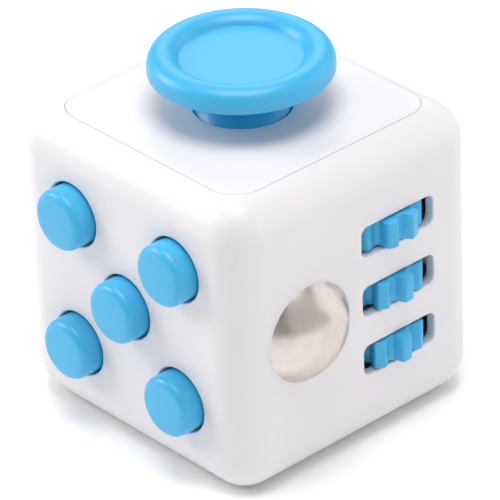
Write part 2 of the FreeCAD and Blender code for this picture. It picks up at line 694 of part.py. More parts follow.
def make_click_plate():
    """The plate that guides the stems, with a pocket behind each for its dome or pad."""
    back = "-%s" % BOARD_Y
    plate = block("click_blank", "-click_half", "click_half", "-%s" % PLATE_Y, back,
                  "cube / 2 - click_tall", "cube / 2 + click_tall")
    tools = [turret_notch("click_notch"), ball_room("click_ball_room")]
    for name in BUTTONS:
        x, z = button_spot(name)
        tools.append(rod(name + "_bore", "+y", x, "-%s - 1" % PLATE_Y, z, "stem_radius + slack",
                         "click_thick + 2"))
        tools.append(rod(name + "_pocket", "-y", x, "%s + 1" % back, z, "dome_radius + 0.2",
                         "dome_pocket + 1"))
    for place, (x, z) in enumerate(CLICK_POSTS):
        tools.append(rod("click_way_%d" % place, "+y", x, "-%s - 1" % PLATE_Y, z, "shank",
                         "click_thick + 2"))
    subpart(cut_away("click_plate", plate, tools))


def turret_notch(name):
    """The room that the click parts leave for the ball's turret."""
    return block(name, TURRET_BACK + " - 0.3", "cube / 2", "-cube / 2 + wall", "0",
                 "cube / 2 - turret_radius - 0.3", "cube / 2 + turret_radius + 0.3")


def make_switch_board():
    """The board behind the click plate, with its domes, pads and screws."""
    front = "-%s" % BOARD_Y
    plate = block("board_blank", "-click_half", "click_half", front, "%s + board_thick" % front,
                  "cube / 2 - click_tall", "cube / 2 + click_tall")
    tools = [turret_notch("board_notch"), ball_room("board_ball_room")]
    for place, (x, z) in enumerate(CLICK_POSTS):
        tools.append(rod("board_way_%d" % place, "+y", x, "%s - 1" % front, z, "shank",
                         "board_thick + 2"))
    subpart(cut_away("switch_board", plate, tools))
    make_domes(front)
    screws = [screw("click_screw_%d" % place, "-y", x, "%s + board_thick" % front, z,
                    "board_thick + click_thick + click_bite")
              for place, (x, z) in enumerate(CLICK_POSTS)]
    subpart(together("click_screws", screws))


def make_domes(front):
    """Three domes that click, behind one diagonal, and two silent pads behind the other."""
    clicky = ("button_upper_left", "button_centre", "button_lower_right")
    domes = []
    pads = []
    for name in BUTTONS:
        x, z = button_spot(name)
        if name in clicky:
            points = [("0", "0"), ("dome_radius", "0"), ("dome_radius * 0.8", "dome_high * 0.7"),
                      ("dome_radius * 0.45", "dome_high"), ("0", "dome_high")]
            domes.append(turned(name + "_dome", points, "-y", x, front, z))
        else:
            points = [("0", "0"), ("dome_radius", "0"), ("dome_radius", "dome_high * 0.5"),
                      ("dome_radius * 0.6", "dome_high * 0.9"), ("0", "dome_high * 0.9")]
            pads.append(turned(name + "_pad", points, "-y", x, front, z))
    subpart(together("snap_domes", domes))
    subpart(together("silent_pads", pads))


# ---------------------------------------------------------------- the roll face

def make_gear(name, step, phase):
    """A gear with blunt, rounded teeth on an upright axle."""
    body = doc.addObject("PartDesign::Body", name)
    disc = pad(body, ring_sketch(body, "XY_Plane", "0", "0", "gear_root", name + "_disc"),
               "gear_thick", name + "_root")
    corners = [("gear_root * 0.8", "-tooth_foot / 2 * 1.05"), ("gear_radius", "-tooth_tip / 2"),
               ("gear_radius", "tooth_tip / 2"), ("gear_root * 0.8", "tooth_foot / 2 * 1.05")]
    tooth = pad(body, outline(body, "XY_Plane", corners, name + "_tooth_outline"), "gear_thick",
                name + "_tooth")
    doc.recompute()
    pattern = body.newObject("PartDesign::PolarPattern", name + "_teeth")
    pattern.Originals = [tooth]
    pattern.Axis = (disc.Profile[0], ["N_Axis"])
    pattern.Angle = 360
    bind(pattern, {"Occurrences": "teeth"})
    body.Tip = pattern
    doc.recompute()
    tips = [place for place in upright_edges(pattern)
            if abs(edge_reach(pattern.Shape.Edges[place - 1])
                   - number("sqrt(gear_radius ^ 2 + tooth_tip ^ 2 / 4)")) < EXACT]
    rounding = rounded(body, pattern, tips, "tooth_round", name + "_tips")
    body.Tip = rounding
    bore = body.newObject("PartDesign::Pocket", name + "_bore")
    bore.Profile = ring_sketch(body, "XY_Plane", "0", "0", "axle_radius + slack", name + "_bore_circle")
    bore.Reversed = True
    bind(bore, {"Length": "gear_thick + 1"})
    body.Tip = bore
    doc.recompute()
    put(body, GEAR_X, GEAR_Y, "%s - gear_thick / 2" % gear_height(step))
    body.Placement.Rotation = FreeCAD.Rotation(UP, number(phase))
    bind(body, {"Placement.Rotation.Angle": phase})
    subpart(body)


def edge_reach(edge):
    """How far an upright edge is from the body's own Z axis."""
    return math.hypot(edge.Vertexes[0].X, edge.Vertexes[0].Y)


def make_roll_frame():
    """The frame behind the roll face: webs for the gears' axle and a turret for the ball's cup."""
    ball_y = "-ball_place"
    pieces = [
        block("frame_plate", FRAME_BACK, FRAME_X, "-(ball_place + frame_beyond)",
              GEAR_Y + " + gear_radius + 0.15",
              "cube / 2 - frame_half", "cube / 2 + frame_half"),
        block("frame_lug", FRAME_BACK, FRAME_X, GEAR_Y + " + gear_radius",
              GEAR_Y + " + gear_radius + 2 * post + roll_post_gap + 0.1", "cube / 2 - post - 0.2",
              "cube / 2 + post + 0.2"),
        rod("turret", "+x", TURRET_BACK, ball_y, MID, "turret_radius",
            "%s + 0.1 - %s" % (FRAME_BACK, TURRET_BACK)),
    ]
    half = "(gear_thick / 2 + web_gap)"
    levels = [("cube / 2 - frame_half", "%s - %s" % (gear_height(-1), half)),
              ("%s + %s" % (gear_height(-1), half), "%s - %s" % (gear_height(0), half)),
              ("%s + %s" % (gear_height(0), half), "%s - %s" % (gear_height(1), half)),
              ("%s + %s" % (gear_height(1), half), "cube / 2 + frame_half")]
    for place, (low, high) in enumerate(levels):
        pieces.append(block("web_%d" % place, "%s - 0.1" % FRAME_X, "%s - 0.4" % INSIDE,
                            GEAR_Y + " - web_half", GEAR_Y + " + web_half", low, high))
    tools = [
        rod("axle_way", "+z", GEAR_X, GEAR_Y, 0, "axle_radius", "cube"),
        ball_room("frame_ball_room"),
        rod("cup_way", "+x", TURRET_END, ball_y, MID, "cup_radius + 0.1", "10"),
        rod("cup_stem_way", "+x", TURRET_BACK + " - 1", ball_y, MID, "cup_stem + 0.1", "turret_wall + 2"),
    ]
    for place, (y, z) in enumerate(ROLL_POSTS):
        tools.append(rod("frame_way_%d" % place, "+x", "%s - 1" % FRAME_BACK, y, z, "shank",
                         "frame_thick + 2"))
    subpart(cut_away("roll_frame", joined("frame_solid", pieces), tools))
    screws = [screw("roll_screw_%d" % place, "+x", FRAME_BACK, y, z, "frame_thick + roll_bite")
              for place, (y, z) in enumerate(ROLL_POSTS)]
    subpart(together("roll_screws", screws))
    subpart(rod("gear_axle", "+z", GEAR_X, GEAR_Y, "cube / 2 - frame_half", "axle_radius", "2 * frame_half"))


def make_ball():
    """The steel ball, the cup it turns in, and the spring behind the cup."""
    subpart(orb("steel_ball", BALL_X, "-ball_place", MID, "ball_radius"))
    blank = joined("cup_blank", [
        rod("cup_disc", "+x", CUP_BACK, "-ball_place", MID, "cup_radius", "3"),
        rod("cup_stem_rod", "+x", CUP_BACK + " - cup_stem_long", "-ball_place", MID, "cup_stem",
            "cup_stem_long + cup_floor / 2"),
    ])
    seat = orb("cup_seat", BALL_X, "-ball_place", MID, "ball_radius + slack")
    subpart(cut_away("ball_cup", blank, [seat]))
    subpart(coil("ball_spring", "+x", TURRET_END, "-ball_place", MID, "ball_coil", "ball_wire", "3",
                 "turret_room"))


# ---------------------------------------------------------------- the glide face

def make_stick():
    """The joystick: its hub, stem and dome in one moulding, its cap, and the pin through its hub."""
    pivot = PIVOT_Z
    dome = cut_away("stick_dome", orb("dome_ball", 0, 0, pivot, "tilt_dome"), [
        orb("dome_hollow", 0, 0, pivot, "tilt_dome - dome_wall"),
        block("dome_below", "-cube / 2", "cube / 2", "-cube / 2", "cube / 2", 0,
              "%s + dome_skirt" % pivot),
    ])
    solid = joined("stick_solid", [
        dome,
        rod("hub", "+z", 0, 0, "%s - hub_half" % pivot, "hub_radius", "2 * hub_half"),
        rod("stick", "+z", 0, 0, pivot, "stick_radius", "cap_under + socket_deep"),
        rod("neck", "+z", 0, 0, "%s + tilt_dome - dome_wall" % pivot, "neck_radius",
            "cap_under - tilt_dome + dome_wall"),
    ])
    pin = rod("hub_bore", "+y", 0, "-hub_radius - 1", pivot, "trunnion", "2 * hub_radius + 2")
    subpart(cut_away("joystick_stem", solid, [pin]))
    subpart(rod("stem_pin", "+y", 0, "-ring_outer + 0.1", pivot, "trunnion", "2 * ring_outer - 0.2"))
    make_cap()


def make_cap():
    """The joystick's round cap, with a raised rim and a shallow hollow for the thumb."""
    top = "cap_under + cap_thick"
    points = [("0", "cap_under + socket_deep"), ("stick_radius", "cap_under + socket_deep"),
              ("stick_radius", "cap_under"), ("cap_radius", "cap_under"), ("cap_radius", top),
              ("cap_recess + cap_slope", top), ("cap_recess", "%s - cap_sink" % top),
              ("0", "%s - cap_sink" % top)]
    body = turned("joystick_cap", points, "+z", 0, 0, PIVOT_Z)
    under = round_edges(body.Tip, "cap_radius", "cap_under")
    rim = rounded(body, body.Tip, under, "cap_round_under", "cap_under_edge")
    over = round_edges(rim, "cap_radius", top)
    crest = rounded(body, rim, over, "cap_round", "cap_top_edge")
    inner = round_edges(crest, "cap_recess + cap_slope", top)
    rounded(body, crest, inner, "cap_slope", "cap_inner_edge")
    subpart(body)


def make_gimbal():
    """The gimbal ring and the two pins it tilts on."""
    pivot = PIVOT_Z
    blank = rod("ring_blank", "+z", 0, 0, "%s - ring_half" % pivot, "ring_outer", "2 * ring_half")
    tools = [rod("ring_hollow", "+z", 0, 0, "%s - ring_half - 1" % pivot, "ring_inner",
                 "2 * ring_half + 2"),
             rod("ring_bore_y", "+y", 0, "-ring_outer - 1", pivot, "trunnion + slack",
                 "2 * ring_outer + 2"),
             rod("ring_bore_x", "+x", "-ring_outer - 1", 0, pivot, "trunnion", "2 * ring_outer + 2")]
    subpart(cut_away("gimbal_ring", blank, tools))
    pins = [rod("gimbal_pin_%d" % (side > 0), "+x" if side > 0 else "-x", "%d * (ring_inner + 0.1)" % side,
                0, pivot, "trunnion", "fork_outer - ring_inner - 0.1") for side in SIDES]
    subpart(together("gimbal_pins", pins))


def make_stick_base():
    """The base that carries the gimbal, hung from the top cover by four screws."""
    pivot = PIVOT_Z
    pieces = [block("base_plate", "-base_left", BASE_RIGHT, "-base_half", "base_half",
                    "%s - base_thick" % BASE_Z, BASE_Z)]
    for side in SIDES:
        low, high = ("fork_inner", "fork_outer") if side > 0 else ("-fork_outer", "-fork_inner")
        pieces.append(block("fork_%d" % (side > 0), low, high, "-fork_half", "fork_half",
                            "%s - 0.5" % BASE_Z, "%s + fork_half" % pivot))
    tools = [rod("fork_bore", "+x", "-fork_outer - 1", 0, pivot, "trunnion + slack",
                 "2 * fork_outer + 2")]
    tools.append(block("base_notch_cut", "%s - head_thick - 0.2" % FRAME_BACK, "%s + 1" % BASE_RIGHT,
                       "-roll_post_side - base_notch", "-roll_post_side + base_notch",
                       "%s - base_thick - 1" % BASE_Z, "%s + 1" % BASE_Z))
    screws = []
    for place, (x, y) in enumerate(hang_spots()):
        tools.append(rod("base_way_%d" % place, "+z", x, y, "%s - base_thick - 1" % BASE_Z, "shank",
                         "base_thick + 2"))
        screws.append(screw("base_screw_%d" % place, "+z", x, y, "%s - base_thick" % BASE_Z,
                            "base_thick + hang_bite"))
    subpart(cut_away("joystick_base", joined("base_solid", pieces), tools))
    subpart(together("joystick_screws", screws))
    subpart(coil("stick_spring", "+z", 0, 0, BASE_Z, "stick_coil", "stick_wire", "4",
                 "base_drop - hub_half"))


# ---------------------------------------------------------------- the flip face

def make_rocker():
    """The rocker: a shallow V in front, rounded ends about its pivot, and a detent nose behind."""
    beyond = "2 * rocker_tip"
    points = [("-" + ROCKER_END, "rocker_tip"), ("-" + ROCKER_FRONT, "0"), ("-" + ROCKER_END, "-rocker_tip"),
              ("-rocker_skirt", "-(%s)" % beyond), ("rocker_back", "-rocker_back_half"),
              ("rocker_back", "rocker_back_half"), ("-rocker_skirt", beyond)]
    body = doc.addObject("PartDesign::Body", "rocker_prism")
    pad(body, outline(body, "XZ_Plane", points, "rocker_outline"), "2 * rocker_half", "rocker_pad")
    put(body, 0, "rocker_half", 0)
    sweep = rod("rocker_sweep", "+y", 0, "-rocker_half", 0, ROCKER_REACH, "2 * rocker_half")
    nose = block("rocker_nose", 0, "nose_length", "-nose_width", "nose_width", "-nose_half", "nose_half")
    solid = joined("rocker_solid", [overlap("rocker_blank", body, sweep), nose])
    bore = rod("rocker_bore", "+y", 0, "-rocker_half - 1", 0, "rocker_pin + slack", "2 * rocker_half + 2")
    rocker = cut_away("rocker", solid, [bore])
    rocker.Placement = FreeCAD.Placement(FreeCAD.Vector(),
                                         FreeCAD.Rotation(FreeCAD.Vector(0, 1, 0), -number("rocker_angle")))
    bind(rocker, {"Placement.Base.x": "-%s" % ROCKER_X, "Placement.Base.z": MID})
    subpart(rocker)
    subpart(rod("rocker_pin", "+y", "-%s" % ROCKER_X, "-cradle_half", MID, "rocker_pin",
                "2 * cradle_half"))


def make_cradle():
    """The cradle that holds the rocker's pin, with the barrel for its sprung plunger."""
    pieces = [
        block("cradle_box", "-" + CRADLE_FRONT, "-" + CRADLE_BACK, "-cradle_half", "cradle_half",
              "cube / 2 - cradle_tall", "cube / 2 + cradle_tall"),
        block("cradle_lugs", "-%s - lug_thick" % CRADLE_BACK, "-" + CRADLE_BACK, "-lug_place - lug_half",
              "lug_place + lug_half", "cube / 2 - lug_half", "cube / 2 + lug_half"),
        rod("barrel", "+x", "-%s - 0.1" % CRADLE_BACK, 0, MID, "barrel_radius",
            "%s + 0.1 - %s + barrel_cap" % (CRADLE_BACK, BARREL_END)),
    ]
    reach = "(%s + 0.35)" % ROCKER_REACH
    tools = [
        block("cradle_hollow", "-%s - 1" % CRADLE_FRONT, "-" + CRADLE_FLOOR, "-rocker_half - rocker_gap",
              "rocker_half + rocker_gap", "cube / 2 - %s" % reach, "cube / 2 + %s" % reach),
        rod("barrel_mouth_cut", "+x", "-%s - 1" % CRADLE_FLOOR, 0, MID, "barrel_mouth",
            "%s + 0.9 - %s" % (CRADLE_FLOOR, PLUNGER_X)),
        rod("barrel_bore", "+x", "-" + CRADLE_BACK, 0, MID, "plunger_radius + slack",
            "%s - %s" % (CRADLE_BACK, BARREL_END)),
        rod("cradle_pin_bore", "+y", "-%s" % ROCKER_X, "-cradle_half - 1", MID, "rocker_pin",
            "2 * cradle_half + 2"),
    ]
    screws = []
    for side in SIDES:
        y = "%d * lug_place" % side
        tools.append(rod("lug_way_%d" % (side > 0), "+x", "-" + CRADLE_FRONT, y, MID, "shank", "5"))
        screws.append(screw("rocker_screw_%d" % (side > 0), "-x", "-" + CRADLE_BACK, y, MID,
                            "lug_thick + flip_bite"))
    subpart(cut_away("rocker_cradle", joined("cradle_solid", pieces), tools))
    subpart(together("rocker_screws", screws))
    subpart(rod("rocker_plunger", "+x", "-" + PLUNGER_X, 0, MID, "plunger_radius", "plunger_length"))
    subpart(coil("plunger_spring", "+x", "-%s + plunger_length" % PLUNGER_X, 0, MID, "plunger_coil",
                 "plunger_wire", "4", "plunger_room"))


# ---------------------------------------------------------------- the spin face

def make_dial():
    """The dial, with grip grooves, a finger dimple, and a hub through the wall."""
    low = "dial_lift - dial_recess"
    hub_low = "%s - cube / 2" % HUB_END
    points = [("0", "dial_proud"), ("dial_radius", "dial_proud"), ("dial_radius", low), ("hub_dial", low),
              ("hub_dial", hub_low), ("shank", hub_low), ("shank", "%s + dial_screw_long + 0.2" % hub_low),
              ("0", "%s + dial_screw_long + 0.2" % hub_low)]
    body = turned("dial_blank", points, "+y", 0, FACE, MID)
    rounded(body, body.Tip, round_edges(body.Tip, "dial_radius", "dial_proud"), "dial_round", "dial_edge")
    groove = body.newObject("PartDesign::Pocket", "dial_groove")
    groove.Profile = ring_sketch(body, "XY_Plane", "dial_radius + grip_radius / 3", "0", "grip_radius",
                                 "groove_circle")
    groove.Reversed = True
    bind(groove, {"Length": "dial_proud + 1"})
    body.Tip = groove
    doc.recompute()
    grooves = body.newObject("PartDesign::PolarPattern", "dial_grooves")
    grooves.Originals = [groove]
    grooves.Axis = (groove.Profile[0], ["N_Axis"])
    grooves.Angle = 360
    bind(grooves, {"Occurrences": "grip_count"})
    body.Tip = grooves
    doc.recompute()
    dimple = orb("dial_dimple", 0, "cube / 2 + dial_proud + dimple_sphere - dimple_deep",
                 "cube / 2 + dimple_place", "dimple_sphere")
    subpart(cut_away("dial", body, [dimple]))
    make_dial_keeper(hub_low)


def make_dial_keeper(hub_low):
    """The disc, conical washer and screw that hold the dial from inside."""
    low = "%s - keeper_thick" % hub_low
    disc = [("shank", low), ("keeper_radius", low), ("keeper_radius", hub_low), ("shank", hub_low)]
    subpart(turned("dial_keeper", disc, "+y", 0, FACE, MID))
    cone = [("hub_dial + 0.3", "%s + 0.3" % hub_low), ("hub_dial + 0.3", hub_low),
            ("keeper_radius - 0.4", "%s + washer_room - 0.4" % hub_low),
            ("keeper_radius - 0.4", "%s + washer_room - 0.1" % hub_low)]
    subpart(turned("friction_washer", cone, "+y", 0, FACE, MID))
    subpart(screw("dial_screw", "+y", 0, HUB_END + " - keeper_thick", MID,
                  "keeper_thick + dial_screw_long"))


# ---------------------------------------------------------------- checks and files

def check_document():
    """Stop if any object failed, or any sub-part is empty, invalid or not solid."""
    for thing in doc.Objects:
        if {"Invalid", "Error"} & set(thing.State):
            raise RuntimeError("failed object: %s %s" % (thing.Label, thing.State))
    for thing in subparts:
        shape = thing.Shape
        if shape.isNull() or not shape.isValid() or not shape.Solids or shape.Volume <= 0:
            raise RuntimeError("bad sub-part: %s" % thing.Label)
        print("%-20s %d solid(s) %9.2f mm3" % (thing.Label, len(shape.Solids), shape.Volume))


def write_parts():
    """One STEP file for each sub-part."""
    os.makedirs("parts", exist_ok=True)
    for thing in subparts:
        thing.Shape.exportStep(os.path.join("parts", thing.Label + ".step"))


write_sizes()
make_casing()
for button in BUTTONS:
    make_button(button)
make_click_plate()
make_switch_board()
for gear, (place_of, turn_of) in GEARS.items():
    make_gear(gear, place_of, turn_of)
make_roll_frame()
make_ball()
make_gimbal()
make_stick()
make_stick_base()
make_rocker()
make_cradle()
make_dial()
doc.recompute()
check_document()
write_parts()
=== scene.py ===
# %% [markdown]
# # A fidget cube in Blender
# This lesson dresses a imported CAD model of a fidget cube: a white plastic cube, as wide as a thumb is
# long, with a toy on each face. The CAD model fixes every size and every joint. Blender makes the
# surfaces that the eye sees: soft mould edges, a polished ball, blunt gears and satin plastic.

# %% The frame
import bmesh
import bpy
import json
import math
from mathutils import Matrix, Vector


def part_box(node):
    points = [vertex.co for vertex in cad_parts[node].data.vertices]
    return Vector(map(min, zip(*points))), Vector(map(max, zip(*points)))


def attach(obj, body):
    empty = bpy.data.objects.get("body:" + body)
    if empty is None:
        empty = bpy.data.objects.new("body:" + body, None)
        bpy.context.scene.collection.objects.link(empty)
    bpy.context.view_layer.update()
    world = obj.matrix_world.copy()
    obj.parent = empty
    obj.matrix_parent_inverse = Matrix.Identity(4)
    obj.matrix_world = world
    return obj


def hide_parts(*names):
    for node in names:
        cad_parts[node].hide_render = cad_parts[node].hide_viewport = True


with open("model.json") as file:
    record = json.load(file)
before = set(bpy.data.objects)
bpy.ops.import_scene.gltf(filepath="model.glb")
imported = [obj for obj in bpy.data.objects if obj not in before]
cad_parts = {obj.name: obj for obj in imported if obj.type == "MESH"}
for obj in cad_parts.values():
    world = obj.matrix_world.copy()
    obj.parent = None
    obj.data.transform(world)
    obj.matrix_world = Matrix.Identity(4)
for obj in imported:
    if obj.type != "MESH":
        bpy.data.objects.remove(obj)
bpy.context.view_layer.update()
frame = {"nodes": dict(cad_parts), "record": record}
MM = 0.001

# %% [markdown]
# ## The casing sets the places
# The casing is a cube, and each toy is centred on, or placed from, one of its faces. So the places come
# from the boxes of the CAD nodes: the casing gives the faces, and each toy's own node gives its centre.

# %% The casing's faces
casing_low, casing_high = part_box("body_shell")
SIDE = casing_high.x - casing_low.x
HALF = SIDE / 2
CENTRE = Vector((0, 0, HALF))
print("the casing is %.1f mm on a side" % (SIDE / MM))


def middle(node_name):
    """The middle of a CAD node's box."""
    low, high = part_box(node_name)
    return (low + high) / 2


# %% [markdown]
# ## Camera
# The cube is seen from its front corner, a little to the right, from 31 degrees above the table. A long
# lens far off keeps its upright edges nearly parallel, as in a shop's picture of a small thing. The
# camera leans by two degrees, and looks just beside the middle.

# %% The camera
AZIMUTH = math.radians(48.31)
ELEVATION = math.radians(31.13)
LEAN = math.radians(-2.08)
DISTANCE = 477.7 * MM
LENS = 340.0
SENSOR_WIDTH = 36
NEAREST = 10 * MM
AIM_RIGHT = 0.21 * MM
AIM_DOWN = 0.44 * MM


def linked(name, data):
    """A new object with its data, in the scene."""
    thing = bpy.data.objects.new(name, data)
    bpy.context.scene.collection.objects.link(thing)
    return thing


def make_camera():
    flat = math.cos(ELEVATION)
    back = Vector((math.sin(AZIMUTH) * flat, -math.cos(AZIMUTH) * flat, math.sin(ELEVATION)))
    level = Vector((0, 0, 1)).cross(back).normalized()
    up = back.cross(level)
    right = level * math.cos(LEAN) + up * math.sin(LEAN)
    above = up * math.cos(LEAN) - level * math.sin(LEAN)
    data = bpy.data.cameras.new("camera")
    data.lens = LENS
    data.sensor_width = SENSOR_WIDTH
    data.clip_start = NEAREST
    camera = linked("camera", data)
    camera.matrix_world = Matrix((right, above, back)).transposed().to_4x4()
    camera.location = CENTRE + back * DISTANCE + right * AIM_RIGHT - above * AIM_DOWN
    return camera


bpy.context.scene.camera = make_camera()
print("camera at", [round(v, 3) for v in bpy.context.scene.camera.location])

# %% [markdown]
# ## Table and light
# The cube stands on a plain white table in a pale room. One large lamp overhead makes the top the
# brightest side, another lights the left, and three weak ones fill in from behind and from the right.
# Large lamps give soft shadows, and a polished ball shows their shapes. The view transform is Standard,
# so white stays white.

# %% The table, the room and the lamps
FLOOR_HALF = 1.5
ROOM_LIGHT = 0.31
LAMPS = {
    "top_lamp": ((0.05, -0.05, 0.75), 0.5, 4.1),
    "left_lamp": ((-0.55, -0.35, 0.35), 0.4, 2.6),
    "back_lamp": ((-0.50, 0.45, 0.42), 0.45, 0.8),
    "right_lamp": ((0.25, 0.50, 0.22), 0.6, 0.9),
    "far_lamp": ((0.60, 0.02, 0.30), 0.9, 0.75),
}


def flat_plane(name, half):
    data = bpy.data.meshes.new(name)
    corners = [(-half, -half, 0), (half, -half, 0), (half, half, 0), (-half, half, 0)]
    data.from_pydata(corners, [], [(0, 1, 2, 3)])
    return linked(name, data)


def area_lamp(name, place, size, watts):
    """A round lamp that faces the cube's middle."""
    data = bpy.data.lights.new(name, "AREA")
    data.shape = "DISK"
    data.size = size
    data.energy = watts
    lamp = linked(name, data)
    lamp.location = place
    lamp.rotation_euler = (CENTRE - Vector(place)).to_track_quat("-Z", "Y").to_euler()


floor = flat_plane("table", FLOOR_HALF)
for lamp_name, settings in LAMPS.items():
    area_lamp(lamp_name, *settings)
room = bpy.data.worlds.new("room")
room.use_nodes = True
pale = room.node_tree.nodes["Background"]
pale.inputs["Color"].default_value = (1.0, 1.0, 1.0, 1.0)
pale.inputs["Strength"].default_value = ROOM_LIGHT
bpy.context.scene.world = room
bpy.context.scene.view_settings.view_transform = "Standard"
print(len(LAMPS), "lamps and a room light of", ROOM_LIGHT)

# %% [markdown]
# ## Tools for nodes
# Materials and Geometry Nodes trees are both made of nodes. One small function adds a node, sets its
# settings, and fills its inputs: an input is given either a value or another node, whose first output
# is then linked. Colours are written as sRGB hex, as a designer would read them off a swatch, and turned
# into the linear light that Blender works in.

# %% One function adds any node
def linear(hex_colour, alpha=1.0):
    """An sRGB hex colour as linear red, green, blue and alpha."""
    def light(part):
        value = int(part, 16) / 255
        return value / 12.92 if value <= 0.04045 else ((value + 0.055) / 1.055) ** 2.4
    return tuple(light(hex_colour[at:at + 2]) for at in (1, 3, 5)) + (alpha,)


def add(tree, kind, inputs=None, **settings):
    """A new node of a kind, with its settings, and its inputs filled with values or linked."""
    node = tree.nodes.new(kind)
    for name, value in settings.items():
        setattr(node, name, value)
    for key, value in (inputs or {}).items():
        if isinstance(value, bpy.types.Node):
            value = value.outputs[0]
        if isinstance(value, bpy.types.NodeSocket):
            tree.links.new(value, node.inputs[key])
        else:
            node.inputs[key].default_value = value
    return node


print("sky blue is", [round(v, 3) for v in linear("#3EB0E0")])

# %% [markdown]
# ## One way to dress a surface
# Every finish here is made alike. Patterns of the right size, laid out in the piece's own coordinates,
# drive three things: the colour between two near tones, the roughness, and a very low relief. What stays
# the same all over is set on the shader's own sockets.

# %% A blank material, and the patterns that drive it
GLOSS_INPUTS = ("Value", "From Min", "From Max", "To Min", "To Max")
RELIEF_INPUTS = ("Height", "Strength", "Distance")


def blank(name):
    """A new material, its tree, and the place of each point on the piece."""
    material = bpy.data.materials.new(name)
    material.use_nodes = True
    tree = material.node_tree
    return material, tree, add(tree, "ShaderNodeTexCoord").outputs["Object"]


def dress(tree, tone, gloss, relief, constants):
    """Drive a shader by patterns: the tone has (pattern, two colours), the gloss (pattern, lowest and
    highest value, their roughness), and the relief (pattern, strength, height)."""
    surface = tree.nodes["Principled BSDF"]
    pattern, base, other = tone
    colour = add(tree, "ShaderNodeMix", {0: pattern, 6: linear(base), 7: linear(other)}, data_type="RGBA")
    rough = add(tree, "ShaderNodeMapRange", dict(zip(GLOSS_INPUTS, gloss)))
    bump = add(tree, "ShaderNodeBump", dict(zip(RELIEF_INPUTS, relief)))
    for source, label in ((colour.outputs[2], "Base Color"), (rough.outputs[0], "Roughness"),
                          (bump.outputs[0], "Normal")):
        tree.links.new(source, surface.inputs[label])
    for label, value in constants.items():
        surface.inputs[label].default_value = value


# %% [markdown]
# ## White moulded ABS
# The casing and its covers are injection-moulded ABS, a hard plastic, white with titanium dioxide. The
# mould was finely blasted, so the surface is satin: highlights are broad and soft, with a grain about a
# tenth of a millimetre wide that only shows as a slight unevenness. Light goes a little way into the
# plastic, which rounds off its shadows. The plastic flowed in from one gate and left faint cloudy
# changes of tone, about a centimetre wide. The moving toys are the same plastic in sky blue.

# %% Satin plastic, white and blue
FLOW_WIDTH = 9.0 * MM
GRAIN_WIDTH = 0.12 * MM
GRAIN_HEIGHT = 0.004 * MM
GLOSS_SPREAD = 0.05
INSIDE_LIGHT = {"Subsurface Weight": 0.10, "Subsurface Radius": (1.0, 1.0, 1.0),
                "Subsurface Scale": 0.4 * MM}


def satin_plastic(name, hex_base, hex_cloud, roughness):
    """Moulded ABS: clouded base colour, uneven gloss, fine blasted grain, light scattered inside."""
    material, tree, place = blank(name)
    cloud = add(tree, "ShaderNodeTexNoise", {"Vector": place, "Scale": 1 / FLOW_WIDTH, "Detail": 3.0})
    grain = add(tree, "ShaderNodeTexNoise", {"Vector": place, "Scale": 1 / GRAIN_WIDTH, "Detail": 2.0})
    dress(tree, (cloud, hex_base, hex_cloud),
          (grain, 0.3, 0.7, roughness - GLOSS_SPREAD, roughness + GLOSS_SPREAD),
          (grain, 0.35, GRAIN_HEIGHT), dict(INSIDE_LIGHT, IOR=1.53))
    return material


finishes = {
    "white_abs": satin_plastic("white_moulded_abs", "#E5E1E4", "#E0DDE0", 0.42),
    "blue_abs": satin_plastic("sky_blue_moulded_abs", "#3EB0E0", "#38ABDC", 0.38),
}
print("finishes so far:", ", ".join(finishes))

# %% [markdown]
# ## Polished steel
# The ball is a bearing ball of chrome steel, lapped until it mirrors the room. Steel gives a slightly
# warm grey mirror. It has rolled under a thumb, so it carries a few hair-fine scratches and a trace of
# skin oil that dulls it in soft patches some two millimetres wide.

# %% The ball's steel
PATCH_WIDTH = 2.2 * MM
SCRATCH_WIDTH = 0.25 * MM
SCRATCH_HEIGHT = 0.003 * MM


def polished_steel():
    material, tree, place = blank("lapped_bearing_steel")
    patch = add(tree, "ShaderNodeTexNoise", {"Vector": place, "Scale": 1 / PATCH_WIDTH, "Detail": 4.0})
    scratch = add(tree, "ShaderNodeTexNoise", {"Vector": place, "Scale": 1 / SCRATCH_WIDTH, "Detail": 5.0,
                                               "Distortion": 1.5})
    dress(tree, (patch, "#D6CAC4", "#CCC0BA"), (patch, 0.35, 0.7, 0.22, 0.38),
          (scratch, 0.10, SCRATCH_HEIGHT), {"Metallic": 1.0})
    return material


finishes["polished_steel"] = polished_steel()
print("steel patches are %.1f mm wide" % (PATCH_WIDTH / MM))

# %% [markdown]
# ## The finishes inside
# Inside the cube are the working parts: natural acetal, a waxy off-white plastic that slides well; a
# green glass-epoxy board with the weave of its cloth; zinc-plated screws and pins; drawn spring wire; and
# soft silicone pads. One fine pattern drives each of them, so a row of values is enough for each. The
# board's pattern is stretched, as its cloth is.

# %% Acetal, board, plated steel, wire, silicone and the table
WORKING_SPREAD = 0.06
WORKING_FINISHES = {
    "acetal": ("natural_acetal", "#E9E8E0", "#DEDCD2", 1.5, 0.36, 0.004, {"IOR": 1.48}),
    "board": ("glass_epoxy_board", "#1F6B3E", "#17552F", 0.4, 0.45, 0.01, {"IOR": 1.55}),
    "steel_hardware": ("zinc_plated_steel", "#C9CBCF", "#B4B7BD", 0.3, 0.32, 0.003, {"Metallic": 1.0}),
    "spring_wire": ("drawn_spring_wire", "#B9BBBE", "#9DA0A4", 0.15, 0.28, 0.003, {"Metallic": 1.0}),
    "silicone": ("silicone_rubber", "#E4E4E4", "#DADADA", 0.5, 0.55, 0.006, {"IOR": 1.41}),
    "table": ("white_table_laminate", "#FFFFFF", "#FDFDFD", 6.0, 0.7, 0.002, {"IOR": 1.45}),
}
BOARD_STRETCH = (1, 1, 4)


